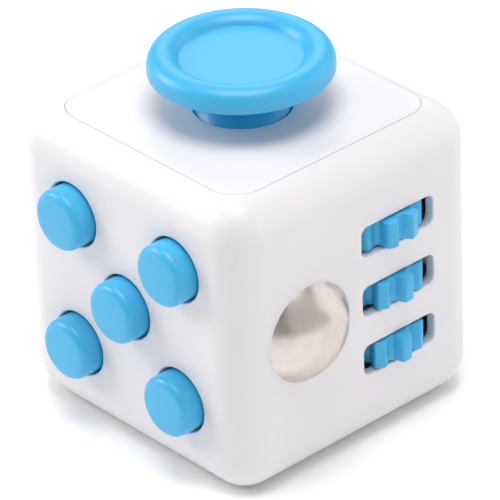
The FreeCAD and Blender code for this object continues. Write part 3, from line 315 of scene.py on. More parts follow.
def working_finish(name, hex_base, hex_other, width, roughness, height, constants, stretch):
    """A finish driven by one fine pattern, whose width and height are in millimetres."""
    material, tree, place = blank(name)
    drawn = add(tree, "ShaderNodeMapping", {"Vector": place, "Scale": stretch})
    fine = add(tree, "ShaderNodeTexNoise", {"Vector": drawn, "Scale": 1 / (width * MM), "Detail": 3.0})
    dress(tree, (fine, hex_base, hex_other),
          (fine, 0.3, 0.7, roughness - WORKING_SPREAD, roughness + WORKING_SPREAD),
          (fine, 0.4, height * MM), constants)
    return material


for slot, values in WORKING_FINISHES.items():
    finishes[slot] = working_finish(*values, BOARD_STRETCH if slot == "board" else (1, 1, 1))
floor.data.materials.append(finishes["table"])
print(len(finishes), "finishes")

# %% [markdown]
# ## Working parts keep their CAD shape
# Plates, frames, pins and posts inside the cube have the right shape already. They stay as they are, and
# take a better finish: the record says which slot each node's material belongs to.

# %% Finishes for the CAD nodes
slot_of = {part["node"]: part["material_slot"] for part in frame["record"]["subparts"]}
for name, cad_node in frame["nodes"].items():
    for material_slot in cad_node.material_slots:
        material_slot.material = finishes[slot_of[name]]
print("%d nodes, %d slots" % (len(slot_of), len(set(slot_of.values()))))

# %% [markdown]
# ## Outlines that become solids
# Most moulded pieces are either turned shapes or plates with rounded corners. Both are stacks of rings: a
# loft joins each ring to the next and closes the two ends. A profile is drawn with plain corners first,
# and a helper then rounds each corner by its own radius, as a mould maker would.

# %% Profiles, rings and lofts
def soften(points, radii, steps=6):
    """A profile whose corners are rounded, each by its own radius."""
    out = [Vector(points[0])]
    for before, corner, after, radius in zip(points, points[1:], points[2:], radii):
        here = Vector(corner)
        come = (Vector(before) - here).normalized()
        go = (Vector(after) - here).normalized()
        half = come.angle(go) / 2
        if radius <= 0 or half > math.radians(89):
            out.append(here)
            continue
        heart = here + (come + go).normalized() * radius / math.sin(half)
        start = here + come * radius / math.tan(half) - heart
        turn = start.angle_signed(here + go * radius / math.tan(half) - heart)
        for step in range(steps + 1):
            angle = -turn * step / steps
            out.append(heart + Matrix.Rotation(angle, 2) @ start)
    return out + [Vector(points[-1])]


def rounded_ring(half_x, half_y, corner, steps=10):
    """Points round a rectangle with rounded corners, or round a circle when the corner is its half."""
    points = []
    for quarter, (side_x, side_y) in enumerate(((1, 1), (-1, 1), (-1, -1), (1, -1))):
        heart = Vector((side_x * (half_x - corner), side_y * (half_y - corner)))
        for step in range(steps + 1):
            angle = math.pi / 2 * (quarter + step / steps)
            points.append(heart + Vector((math.cos(angle), math.sin(angle))) * corner)
    return points


def raised(points, height):
    """Flat points lifted to one height."""
    return [Vector((point.x, point.y, height)) for point in points]


def arc(radius, low, high, steps):
    """Points round the origin, between two angles."""
    turns = [low + (high - low) * step / steps for step in range(steps + 1)]
    return [(radius * math.cos(turn), radius * math.sin(turn)) for turn in turns]


def loft(rings, hole=False):
    """A closed solid through rings of as many points each. With a hole, the last ring joins the first.
    Without one, both ends are closed."""
    shape = bmesh.new()
    rows = [[shape.verts.new(point) for point in ring] for ring in rings]
    count = len(rows[0])
    for low, high in zip(rows, rows[1:] + rows[:1] if hole else rows[1:]):
        for at in range(count):
            after = (at + 1) % count
            shape.faces.new((low[at], low[after], high[after], high[at]))
    if not hole:
        shape.faces.new(rows[0])
        shape.faces.new(rows[-1])
    return shape


def turned(profile, steps=96):
    """A solid turned about its own Z axis, from a profile of (radius, height)."""
    circle = arc(1, 0, math.tau, steps)[:-1]
    return loft([[Vector((across * radius, up * radius, height)) for across, up in circle]
                 for radius, height in profile])


print("a softened corner:", len(soften([(0, 0), (1, 0), (1, 1)], [0.2])), "points")

# %% [markdown]
# ## From a shape to a finished piece
# Each shape is made at the origin, facing up, and then turned to its face of the cube with its place
# baked into its mesh. Doubles are merged before normals are recalculated. Flat faces and their rounded
# edges share vertices, so the shading is weighted by face area: large flat faces stay flat, and only the
# small edge faces bend the light.

# %% Placing and finishing
TOWARDS = {
    "front": Matrix(((1, 0, 0), (0, 0, 1), (0, -1, 0))).transposed(),
    "right": Matrix(((0, 1, 0), (0, 0, 1), (1, 0, 0))).transposed(),
    "back": Matrix(((-1, 0, 0), (0, 0, 1), (0, 1, 0))).transposed(),
    "left": Matrix(((0, -1, 0), (0, 0, 1), (-1, 0, 0))).transposed(),
    "top": Matrix.Identity(3),
    "under": Matrix(((1, 0, 0), (0, -1, 0), (0, 0, -1))).transposed(),
}
OUTWARDS = {name: turn @ Vector((0, 0, 1)) for name, turn in TOWARDS.items()}
MERGE = 1e-7


def as_object(name, shape, toward="top", place=(0, 0, 0)):
    """A mesh object from a shape, turned towards a face, with its place in its mesh."""
    bmesh.ops.transform(shape, matrix=Matrix.Translation(place) @ TOWARDS[toward].to_4x4(), verts=shape.verts)
    bmesh.ops.remove_doubles(shape, verts=shape.verts, dist=MERGE)
    bmesh.ops.dissolve_degenerate(shape, edges=shape.edges, dist=MERGE)
    bmesh.ops.delete(shape, geom=[edge for edge in shape.edges if not edge.link_faces], context="EDGES")
    bmesh.ops.recalc_face_normals(shape, faces=shape.faces)
    data = bpy.data.meshes.new(name)
    shape.to_mesh(data)
    shape.free()
    return linked(name, data)


def on_face(toward, spot):
    """A spot moved out onto the face it belongs to."""
    out = OUTWARDS[toward]
    return spot - out * (spot - CENTRE).dot(out) + out * HALF


def settle(thing):
    """Apply an object's modifiers to its mesh."""
    settled = bpy.data.meshes.new_from_object(thing.evaluated_get(bpy.context.evaluated_depsgraph_get()))
    settled.name = thing.name
    thing.modifiers.clear()
    thing.data = settled
    return thing


def carve(thing, cutters):
    """Take cutters away from a piece."""
    for cutter in cutters:
        cut = thing.modifiers.new("cut", "BOOLEAN")
        cut.operation = "DIFFERENCE"
        cut.solver = "EXACT"
        cut.object = cutter
    settle(thing)
    for cutter in cutters:
        bpy.data.objects.remove(cutter)


def finish(thing, body, slot, *nodes, sharp=40):
    """Smooth shading with crisp corners, the finish of a slot, and the piece's place in the frame."""
    thing.data.materials.clear()
    thing.data.materials.append(finishes[slot])
    thing.data.polygons.foreach_set("material_index", [0] * len(thing.data.polygons))
    thing.data.shade_smooth()
    thing.data.set_sharp_from_angle(angle=math.radians(sharp))
    weigh = thing.modifiers.new("weigh", "WEIGHTED_NORMAL")
    weigh.keep_sharp = True
    settle(thing)
    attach(thing, body)
    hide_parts(*nodes)


print("faces of the cube:", ", ".join(TOWARDS))

# %% [markdown]
# ## Holes with soft rims
# A moulded hole has no knife edge: its rim is rounded by about a fifth of a millimetre. A cutter shaped
# like the hole, flaring at the surface like a trumpet, cuts the hole and its rim at once. The flare stops
# just short of level, so that the cutter crosses the face cleanly. Where a dark gap should show beside a
# piece, the hole widens into a pocket behind a thin lip.

# %% A cutter for any hole
RIM = 0.22 * MM
FLARE = math.radians(76)
ABOVE = 0.05 * MM
POCKET_LIP = 1.1 * MM


def hole_cutter(toward, spot, half_x, half_y, corner, depth, steps=10, pocket=0):
    """A cutter for a rounded hole with a flared rim. Its middle is a spot, moved out onto the face."""
    sides = []
    for step in range(6):
        angle = FLARE * (1 - step / 5)
        sides.append((RIM * (1 - math.cos(angle)), RIM * (math.sin(angle) - math.sin(FLARE))))
    sides.insert(0, (sides[0][0] + ABOVE * math.tan(FLARE), ABOVE))
    if pocket:
        sides += [(0, -POCKET_LIP), (pocket, -POCKET_LIP)]
    sides.append((pocket, -depth))
    rings = [raised(rounded_ring(half_x + out, half_y + out, corner + out, steps), height)
             for out, height in sides]
    return as_object("cutter", loft(rings), toward, on_face(toward, spot))


print("rim of %.2f mm" % (RIM / MM))

# %% [markdown]
# ## The casing
# The casing is a hollow cube with 4 mm rounded edges and 1.8 mm walls, open at the top and bottom for
# two covers. A solid block is bevelled and hollowed, and the holes are cut for the buttons, the ball, the
# gears, the rocker and the dial. Inside, posts are placed from the CAD screws, and bosses stand at the
# corners.

# %% Sizes of the casing
EDGE_ROUND = 4.0 * MM
WALL = 1.8 * MM
DECK = 2.6 * MM
COVER_HALF = 13.4 * MM
COVER_CORNER = 3.0 * MM
COVER_THICK = 2.0 * MM
SEAM = 0.045 * MM
LEDGE = 1.2 * MM
SEAM_RIM = 0.07 * MM
EDGE_STEPS = 16
OVERCUT = 1.0 * MM
SKIN_OVERCUT = 0.06 * MM
THROUGH = WALL + OVERCUT


def rounded_block(name, half, low, high, edge, steps):
    """A block between two heights, with every edge rounded."""
    shape = bmesh.new()
    bmesh.ops.create_cube(shape, size=1)
    size = Vector((2 * half, 2 * half, high - low))
    bmesh.ops.scale(shape, vec=size, verts=shape.verts)
    bmesh.ops.bevel(shape, geom=shape.edges[:], offset=edge, offset_type="OFFSET", segments=steps,
                    profile=0.5, affect="EDGES")
    return as_object(name, shape, "top", (0, 0, (low + high) / 2))


def skin_drop(x, y):
    """How far the rounded cube's top skin is below its highest level at a place."""
    over_x = max(abs(x) - (HALF - EDGE_ROUND), 0)
    over_y = max(abs(y) - (HALF - EDGE_ROUND), 0)
    return EDGE_ROUND - math.sqrt(EDGE_ROUND ** 2 - over_x ** 2 - over_y ** 2)


def skin_ring(half, corner, depth, steps=10):
    """A ring round a cover's edge, at a depth below the cube's top skin."""
    return [Vector((point.x, point.y, -skin_drop(point.x, point.y) - depth))
            for point in rounded_ring(half, half, corner, steps)]


def flat_ring(half, corner, depth, steps=10):
    """A level ring at a depth below the cube's top."""
    return raised(rounded_ring(half, half, corner, steps), -depth)


def seat_cutter(toward, place):
    """A cutter for a cover's seat, with a softened edge along the seam, and the way in below it."""
    half = COVER_HALF + SEAM
    corner = COVER_CORNER + SEAM
    wide = SEAM_RIM * 1.2
    rings = [flat_ring(half + wide, corner + wide, -OVERCUT),
             skin_ring(half + wide, corner + wide, -SKIN_OVERCUT)]
    for angle in (60, 40, 20, 0):
        out = SEAM_RIM * (1 - math.cos(math.radians(angle)))
        rings.append(skin_ring(half + out, corner + out, SEAM_RIM * (1 - math.sin(math.radians(angle)))))
    rings += [flat_ring(half, corner, COVER_THICK), flat_ring(half - LEDGE, corner, COVER_THICK),
              flat_ring(half - LEDGE, corner, DECK + OVERCUT)]
    return as_object("cutter", loft(rings), toward, place)


print("the seam runs %.1f mm from the middle" % ((COVER_HALF + SEAM) / MM))

# %% [markdown]
# The places of the toys come from their nodes. Only the sizes of their openings are named here, a
# running gap larger than the pieces that move in them. The gears' slots and the ball's seat widen behind
# their lips, which keeps the gap beside each toy dark.

# %% The openings
PLACES = ["upper_left", "upper_right", "centre", "lower_left", "lower_right"]
BUTTON_NAMES = ["button_" + place for place in PLACES]
GEAR_NAMES = ["gear_bottom", "gear_middle", "gear_top"]
BUTTON_HOLE = 3.5 * MM
SLOT_HALF = Vector((4.9, 1.7)) * MM
SLOT_CORNER = 0.8 * MM
SLOT_POCKET = 0.7 * MM
BALL_GAP = 0.3 * MM
BALL_POCKET = 0.8 * MM
BALL_LIP = 0.7 * MM
BALL_FLARE = ((0.02, -0.05), (0.10, 0.03))
ROCKER_OPENING = Vector((4.0, 7.757)) * MM
DIAL_RECESS = 10.4 * MM
DIAL_RECESS_DEEP = 0.8 * MM
DIAL_HUB_HOLE = 3.0 * MM

ball_low, ball_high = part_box("steel_ball")
BALL_RADIUS = (ball_high.x - ball_low.x) / 2
BALL_CENTRE = (ball_low + ball_high) / 2


def ball_cutter():
    """The ball's round seat, wider behind its lip, which flares softly where it meets the face."""
    reach = BALL_RADIUS + BALL_GAP
    level = on_face("right", BALL_CENTRE).x - BALL_CENTRE.x
    mouth = math.sqrt(reach ** 2 - level ** 2)
    wide = reach + BALL_POCKET
    under_lip = level - BALL_LIP
    profile = [(0, -wide)] + arc(wide, -math.pi / 2, math.asin(under_lip / wide), 16)
    profile += arc(reach, math.asin(under_lip / reach), math.asin(level / reach), 16)
    profile += [(mouth + out * MM, level + up * MM) for out, up in BALL_FLARE]
    profile.append((0, profile[-1][1]))
    return as_object("cutter", turned(profile), "right", BALL_CENTRE)


def casing_cutters():
    holes = [("front", middle(name), BUTTON_HOLE, BUTTON_HOLE, BUTTON_HOLE, THROUGH, 16)
             for name in BUTTON_NAMES]
    holes += [("right", middle(name), *SLOT_HALF, SLOT_CORNER, THROUGH, 10, SLOT_POCKET)
              for name in GEAR_NAMES]
    holes += [("left", CENTRE, *ROCKER_OPENING, SLOT_CORNER, THROUGH),
              ("back", CENTRE, DIAL_RECESS, DIAL_RECESS, DIAL_RECESS, DIAL_RECESS_DEEP, 24),
              ("back", CENTRE, DIAL_HUB_HOLE, DIAL_HUB_HOLE, DIAL_HUB_HOLE, THROUGH)]
    seats = [seat_cutter("top", (0, 0, SIDE)), seat_cutter("under", (0, 0, 0))]
    return seats + [hole_cutter(*hole) for hole in holes] + [ball_cutter()]


print("openings for %d buttons and %d gears" % (len(BUTTON_NAMES), len(GEAR_NAMES)))

# %% [markdown]
# ## Reading places out of a set
# A set of screws is one CAD node with several loose solids. Its mesh is split by which triangles touch,
# and each loose part gives the middle and the length of one screw. The posts that the screws bite into
# are placed from them, so nothing is measured twice.

# %% The loose parts of a node
def loose_parts(node_name):
    """The boxes of a CAD node's separate solids."""
    shape = bmesh.new()
    shape.from_mesh(frame["nodes"][node_name].data)
    bmesh.ops.remove_doubles(shape, verts=shape.verts, dist=1e-6)
    left = set(shape.verts)
    boxes = []
    while left:
        part = {left.pop()}
        edge_of_part = list(part)
        while edge_of_part:
            reached = {edge.other_vert(vert) for vert in edge_of_part for edge in vert.link_edges}
            edge_of_part = list((reached & left) - part)
            part.update(edge_of_part)
        left -= part
        low = Vector([min(vert.co[axis] for vert in part) for axis in range(3)])
        high = Vector([max(vert.co[axis] for vert in part) for axis in range(3)])
        boxes.append((low, high))
    shape.free()
    return sorted(boxes, key=lambda box: tuple(round(v, 5) for v in box[0]))


SCREW_SETS = {"click_screws": "front", "roll_screws": "right", "joystick_screws": "top",
              "rocker_screws": "left", "dial_screw": "back"}
screws = {name: loose_parts(name) for name in SCREW_SETS}
print("screws:", {name: len(boxes) for name, boxes in screws.items()})


def join(first, *others):
    """Other objects' meshes added to the first object's mesh."""
    shape = bmesh.new()
    for thing in (first,) + others:
        shape.from_mesh(thing.data)
    shape.to_mesh(first.data)
    shape.free()
    for thing in others:
        bpy.data.objects.remove(thing)
    return first


# %% Cutting the casing
POST_RADIUS = 1.5 * MM
POST_LIFT = 2.0 * MM
BOSS_IN = 9.9 * MM
BOSS_DEEP = 3.4 * MM
BOSS_INSET = 0.5 * MM
BOSS_CORNER = 0.3 * MM
BOSS_GAP = 0.1 * MM


def casing_posts():
    """The posts that the screws bite into, from the wall to the screw's plate, and the peg bosses."""
    posts = []
    inner = HALF - WALL / 2
    for name in ("click_screws", "roll_screws", "rocker_screws"):
        toward = SCREW_SETS[name]
        out = OUTWARDS[toward]
        for low, high in screws[name]:
            half = abs((high - low).dot(out)) / 2
            tip = (low + high) / 2 + out * half
            foot = -2 * half + POST_LIFT
            reach = inner - (tip - CENTRE).dot(out)
            profile = [(0, foot), (POST_RADIUS, foot), (POST_RADIUS, reach), (0, reach)]
            posts.append(as_object("post", turned(profile, 32), toward, tip))
    place = (BOSS_IN + inner) / 2 - BOSS_INSET
    half = (inner - BOSS_IN) / 2 - BOSS_INSET
    section = rounded_ring(half, half, BOSS_CORNER, 4)
    for side_x in (-1, 1):
        for side_y in (-1, 1):
            for low_z in (COVER_THICK + BOSS_GAP, SIDE - COVER_THICK - BOSS_DEEP - BOSS_GAP):
                posts.append(as_object("boss", loft([raised(section, 0), raised(section, BOSS_DEEP)]), "top",
                                       (side_x * place, side_y * place, low_z)))
    return posts


casing = rounded_block("casing", HALF, 0, SIDE, EDGE_ROUND, EDGE_STEPS)
hollow = rounded_block("cutter", HALF - WALL, DECK, SIDE - DECK, EDGE_ROUND - WALL, 6)
carve(casing, [hollow])
carve(casing, casing_cutters())
join(casing, *casing_posts())
print("casing: %d faces" % len(casing.data.polygons))
finish(casing, "body", "white_abs", "body_shell")

# %% [markdown]
# ## The covers
# Two flush covers close the casing. Their outer skin follows the casing's rounded edge, and the seam
# between them is a hair wide, so it shows only as a fine line. The top cover has a round opening for the
# joystick, wider inside, because the joystick's dome swings in it. The under cover has a shallow dent
# that fits the thumb. Both are lofts: rings run from the opening, out over the skin, down the edge and
# back under.

# %% The top cover
PIVOT = Vector((0, 0, 28.6 * MM))
OPENING_REACH = 6.7 * MM
COVER_STEPS = 20
PEG_RADIUS = 0.8 * MM
PEG_PLACE = 11.3 * MM
PEG_LENGTH = 3.0 * MM
PEG_ROUND = 0.2 * MM
HANG_RADIUS = 1.2 * MM
SCREW_HEAD = 0.8 * MM
HANG_GAP = 1.0 * MM


def circle_ring(radius, depth):
    """A level circle that pairs with the rounded rings point by point."""
    return flat_ring(radius, radius, depth, COVER_STEPS)


def cover_edge():
    """The rings of a cover's edge: the skin, the softened edge along the seam, and the side."""
    turns = [math.radians(angle) for angle in (0, 30, 60, 90)]
    insets = [(inset * MM, 0) for inset in (1.4, 0.9, 0.6, 0.35)]
    insets += [(SEAM_RIM * (1 - math.sin(turn)), SEAM_RIM * (1 - math.cos(turn))) for turn in turns]
    rings = [skin_ring(COVER_HALF - inset, COVER_CORNER - inset, depth, COVER_STEPS)
             for inset, depth in insets]
    return rings + [flat_ring(COVER_HALF, COVER_CORNER, COVER_THICK, COVER_STEPS)]


def peg(x, y, length=COVER_THICK + PEG_LENGTH, radius=PEG_RADIUS):
    """A round peg under a cover, with a softened end."""
    profile = soften([(0, -length), (radius, -length), (radius, -COVER_THICK / 2), (0, -COVER_THICK / 2)],
                     [PEG_ROUND, 0])
    return x, y, turned(profile, 32)


def cover(name, rings, pegs, toward, place, hole):
    """A cover from the rings of its middle, its edge and its back, and from its pegs."""
    middle_rings, back_rings = rings
    plate = as_object(name, loft(middle_rings + cover_edge() + back_rings, hole), toward, place)
    turn = TOWARDS[toward]
    return join(plate, *[as_object("peg", shape, toward, Vector(place) + turn @ Vector((x, y, 0)))
                         for x, y, shape in pegs])


corners = [(x * PEG_PLACE, y * PEG_PLACE) for x in (-1, 1) for y in (-1, 1)]
rise = SIDE - PIVOT.z
lip = math.sqrt(OPENING_REACH ** 2 - rise ** 2)
opening = []
for step in range(8):
    level = rise - COVER_THICK * (1 - step / 8)
    opening.append(circle_ring(math.sqrt(OPENING_REACH ** 2 - level ** 2), rise - level))
for out, depth in ((0.03, 0.14), (0.02, 0.07), (0.07, 0.02), (0.16, 0)):
    opening.append(circle_ring(lip + out * MM, depth * MM))
hang_length = SIDE - (screws["joystick_screws"][0][0].z + SCREW_HEAD + HANG_GAP)
hangers = [peg((low.x + high.x) / 2, (low.y + high.y) / 2, hang_length, HANG_RADIUS)
           for low, high in screws["joystick_screws"]]
top_pegs = [peg(x, y) for x, y in corners] + hangers
top_cover = cover("lid", (opening, []), top_pegs, "top", (0, 0, SIDE), hole=True)
finish(top_cover, "body", "white_abs", "top_cover")
print("the joystick's opening is %.1f mm across" % (2 * lip / MM))

# %% The under cover, with the thumb dent
DENT_RADIUS = 9.7 * MM
DENT_DEEP = 1.6 * MM
DENT_ROUND = 3.0 * MM
DENT_RING_IN = 1.6 * MM
BACKING_RADIUS = 11.0 * MM
BACKING_HEIGHT = 3.4 * MM

dent_sphere = (DENT_RADIUS ** 2 + DENT_DEEP ** 2) / (2 * DENT_DEEP)
dent = [(0, -DENT_DEEP)]
for step in range(1, 17):
    out = DENT_RADIUS * step / 16
    dent.append((out, dent_sphere - DENT_DEEP - math.sqrt(dent_sphere ** 2 - out ** 2)))
dent = soften(dent + [(COVER_HALF - DENT_RING_IN, 0)], [0] * 15 + [DENT_ROUND])
dent_rings = [circle_ring(out, -height) for out, height in dent[:-1]]
backing = [circle_ring(BACKING_RADIUS, COVER_THICK), circle_ring(BACKING_RADIUS, BACKING_HEIGHT),
           circle_ring(0, BACKING_HEIGHT)]
under_cover = cover("floor_plate", (dent_rings, backing), [peg(x, y) for x, y in corners], "under", (0, 0, 0),
                    hole=False)
finish(under_cover, "body", "white_abs", "bottom_cover")
print("the thumb dent is %.1f mm wide and %.1f mm deep" % (2 * DENT_RADIUS / MM, DENT_DEEP / MM))

# %% [markdown]
# ## The buttons
# Five buttons stand out of the front like the five of a die. Each is a turned shape: a front with the
# least crown, a soft edge, a flange behind the wall that keeps it in, and a stem that presses the switch.
# They are separate pieces, because each one moves with its own body.

# %% Five buttons
BUTTON_RADIUS = 3.25 * MM
BUTTON_PROUD = 2.3 * MM
BUTTON_EDGE = 0.8 * MM
BUTTON_CROWN = 0.04 * MM
FLANGE_FRONT = -(WALL + 0.1 * MM)
FLANGE_BACK = FLANGE_FRONT - 0.8 * MM
BUTTON_STEM = 1.0 * MM
BUTTON_ROUNDS = [BUTTON_EDGE, 0.1 * MM, 0.15 * MM, 0.15 * MM, 0.2 * MM, 0.2 * MM]


def make_button(name):
    low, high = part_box(name)
    face = on_face("front", middle(name))
    flange = (high.x - low.x) / 2
    stem_end = face.y - high.y
    profile = soften([
        (0, BUTTON_PROUD), (BUTTON_RADIUS, BUTTON_PROUD - BUTTON_CROWN), (BUTTON_RADIUS, FLANGE_FRONT),
        (flange, FLANGE_FRONT), (flange, FLANGE_BACK), (BUTTON_STEM, FLANGE_BACK), (BUTTON_STEM, stem_end),
        (0, stem_end)], BUTTON_ROUNDS)
    button = as_object(name + "_cap", turned(profile), "front", face)
    finish(button, name, "blue_abs", name)
    return low.y


fronts = [make_button(name) for name in BUTTON_NAMES]
print("the buttons' fronts stand %.2f mm out" % ((-HALF - min(fronts)) / MM))

# %% [markdown]
# ## The joystick
# A round cap rides on a short stem. The cap has a raised rim as round as a tyre, and a flat hollow for
# the thumb, with a crisp line where the rim's slope meets the hollow's floor. Under it a thin dome fills
# the opening of the cover, whichever way the stick leans.

# %% The cap and the dome
CAP_RECESS = 6.24 * MM
CAP_SLOPE = 0.62 * MM
CAP_SINK = 0.95 * MM
CAP_SOCKET = 1.1 * MM
CAP_ROUNDS = [0.15 * MM, 1.7 * MM, 1.45 * MM, 0.3 * MM, 0.1 * MM, 0.1 * MM]
NECK_RADIUS = 2.6 * MM
STEM_RADIUS = 1.8 * MM
DOME_RADIUS = 6.4 * MM
DOME_WALL = 0.8 * MM
DOME_SKIRT = 1.2 * MM
HUB_RADIUS = 2.2 * MM

cap_low, cap_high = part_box("joystick_cap")
cap_radius = (cap_high.x - cap_low.x) / 2
under = cap_low.z - PIVOT.z
over = cap_high.z - PIVOT.z
cap_profile = soften([
    (0, over - CAP_SINK), (CAP_RECESS, over - CAP_SINK), (CAP_RECESS + CAP_SLOPE, over), (cap_radius, over),
    (cap_radius, under), (STEM_RADIUS, under), (STEM_RADIUS, under + CAP_SOCKET), (0, under + CAP_SOCKET)],
    CAP_ROUNDS, 10)
cap = as_object("thumb_cap", turned(cap_profile, 160), "top", PIVOT)
finish(cap, "stick", "blue_abs", "joystick_cap")


inner_dome = DOME_RADIUS - DOME_WALL
inner_skirt = math.asin(DOME_SKIRT / inner_dome)
outer_skirt = math.asin(DOME_SKIRT / DOME_RADIUS)
socket_top = under + CAP_SOCKET
stem_profile = [(0, -DOME_SKIRT), (HUB_RADIUS, -DOME_SKIRT), (HUB_RADIUS, DOME_SKIRT),
                (STEM_RADIUS, DOME_SKIRT)]
stem_profile += arc(inner_dome, math.acos(STEM_RADIUS / inner_dome), inner_skirt, 16)
stem_profile += arc(DOME_RADIUS, outer_skirt, math.acos(NECK_RADIUS / DOME_RADIUS), 20)
stem_profile += [(NECK_RADIUS, under), (STEM_RADIUS, under), (STEM_RADIUS, socket_top), (0, socket_top)]
stem = as_object("stick_and_dome", turned(stem_profile, 128), "top", PIVOT)
finish(stem, "stick", "blue_abs", "joystick_stem")
print("the cap is %.1f mm across" % (2 * cap_radius / MM))

# %% [markdown]
# ## The ball
# A bearing ball is as round as anything made. A globe of rings would pinch its faces at the poles, and a
# mirror shows every pinch. So a cube is divided into a fine grid and each point is pushed out to the
# ball's radius: all the faces stay close to square.

# %% A ball from a cube
BALL_CUTS = 31
shape = bmesh.new()
bmesh.ops.create_cube(shape, size=2)
bmesh.ops.subdivide_edges(shape, edges=shape.edges[:], cuts=BALL_CUTS, use_grid_fill=True)
for vert in shape.verts:
    even = Vector([math.tan(part * math.pi / 4) for part in vert.co])
    vert.co = even.normalized() * BALL_RADIUS
ball = as_object("bearing_ball", shape, "top", BALL_CENTRE)
finish(ball, "ball", "polished_steel", "steel_ball")
print("the ball is %.1f mm across" % (2 * BALL_RADIUS / MM))

# %% [markdown]
# ## Geometry Nodes: a toothed disc
# A gear's teeth and a dial's grip grooves follow one rule: the rim's radius swings between a tip and a
# root as the angle goes round. A small tree works that rule out. It is used three times in a bigger
# tree, at an angle and just either side of it, to find which way the rim faces, so that its edges can be
# rounded evenly, flanks as well as tips. The disc is a grid bent round on itself: one way runs round the
# rim, the other from the bore, over the rim and back to the bore.

# %% Making a tree, and growing a mesh from it
def new_tree(name, floats, others, output="Geometry"):
    """A Geometry Nodes tree with named inputs and one output. Its points, if any, have to come first."""
    tree = bpy.data.node_groups.new(name, "GeometryNodeTree")
    kinds = {**others, **dict.fromkeys(floats, "Float")}
    for label, kind in kinds.items():
        tree.interface.new_socket(label, in_out="INPUT", socket_type="NodeSocket" + kind)
    tree.interface.new_socket(output, in_out="OUTPUT", socket_type="NodeSocket" + output)
    return tree, dict(zip(kinds, add(tree, "NodeGroupInput").outputs))


def work_out(tree, kind, known, rows):
    """One node for each row of (result, operation, inputs). An input is a result's name or a value."""
    for name, operation, *given in rows:
        inputs = {at: known.get(item, item) for at, item in enumerate(given)}
        known[name] = add(tree, kind, inputs, operation=operation)


def close_tree(tree, given, mesh):
    """The end of a tree: a copy on each point, if it has points, made real, with its material."""
    if "Points" in given:
        mesh = add(tree, "GeometryNodeInstanceOnPoints", {"Points": given["Points"], "Instance": mesh})
    real = add(tree, "GeometryNodeRealizeInstances", {0: mesh})
    done = add(tree, "GeometryNodeSetMaterial", {"Geometry": real, "Material": given["Finish"]})
    add(tree, "NodeGroupOutput", {0: done})
    return tree


def grow(name, tree, values, points=()):
    """The plain mesh that a tree makes, as a shape. Inputs are set by identifier, before evaluation."""
    data = bpy.data.meshes.new(name)
    data.from_pydata([tuple(point) for point in points], [], [])
    seed = linked(name, data)
    growth = seed.modifiers.new("growth", "NODES")
    growth.node_group = tree
    for item in tree.interface.items_tree:
        if item.in_out == "INPUT" and item.name in values:
            growth[item.identifier] = values[item.name]
    settle(seed)
    shape = bmesh.new()
    shape.from_mesh(seed.data)
    bpy.data.objects.remove(seed)
    return shape


# %% The rule of the rim
RULE_INPUTS = ["Teeth", "Tip radius", "Root radius", "Tip half", "Foot half"]


def rim_rule():
    tree, given = new_tree("rim_rule", ["Angle"] + RULE_INPUTS, {}, "Float")
    known = dict(given)
    work_out(tree, "ShaderNodeMath", known, [
        ("reach", "ADD", "Tip radius", "Root radius"), ("pitch", "DIVIDE", "reach", "Teeth"),
        ("arc", "MULTIPLY", "pitch", math.pi), ("turns", "MULTIPLY", "Angle", "Teeth"),
        ("tooth", "DIVIDE", "turns", math.tau), ("shifted", "ADD", "tooth", 0.5),
        ("share", "FRACT", "shifted"), ("aside", "SUBTRACT", "share", 0.5),
        ("off", "ABSOLUTE", "aside"), ("across", "MULTIPLY", "off", "arc")])
    radius = add(tree, "ShaderNodeMapRange", {
        "Value": known["across"], "From Min": given["Foot half"], "From Max": given["Tip half"],
        "To Min": given["Root radius"], "To Max": given["Tip radius"]}, interpolation_type="SMOOTHSTEP")
    add(tree, "NodeGroupOutput", {0: radius})
    return tree


RIM_RULE = rim_rule()
print("the rim's rule has %d nodes" % len(RIM_RULE.nodes))

# %% The toothed disc
ASIDE = 0.01


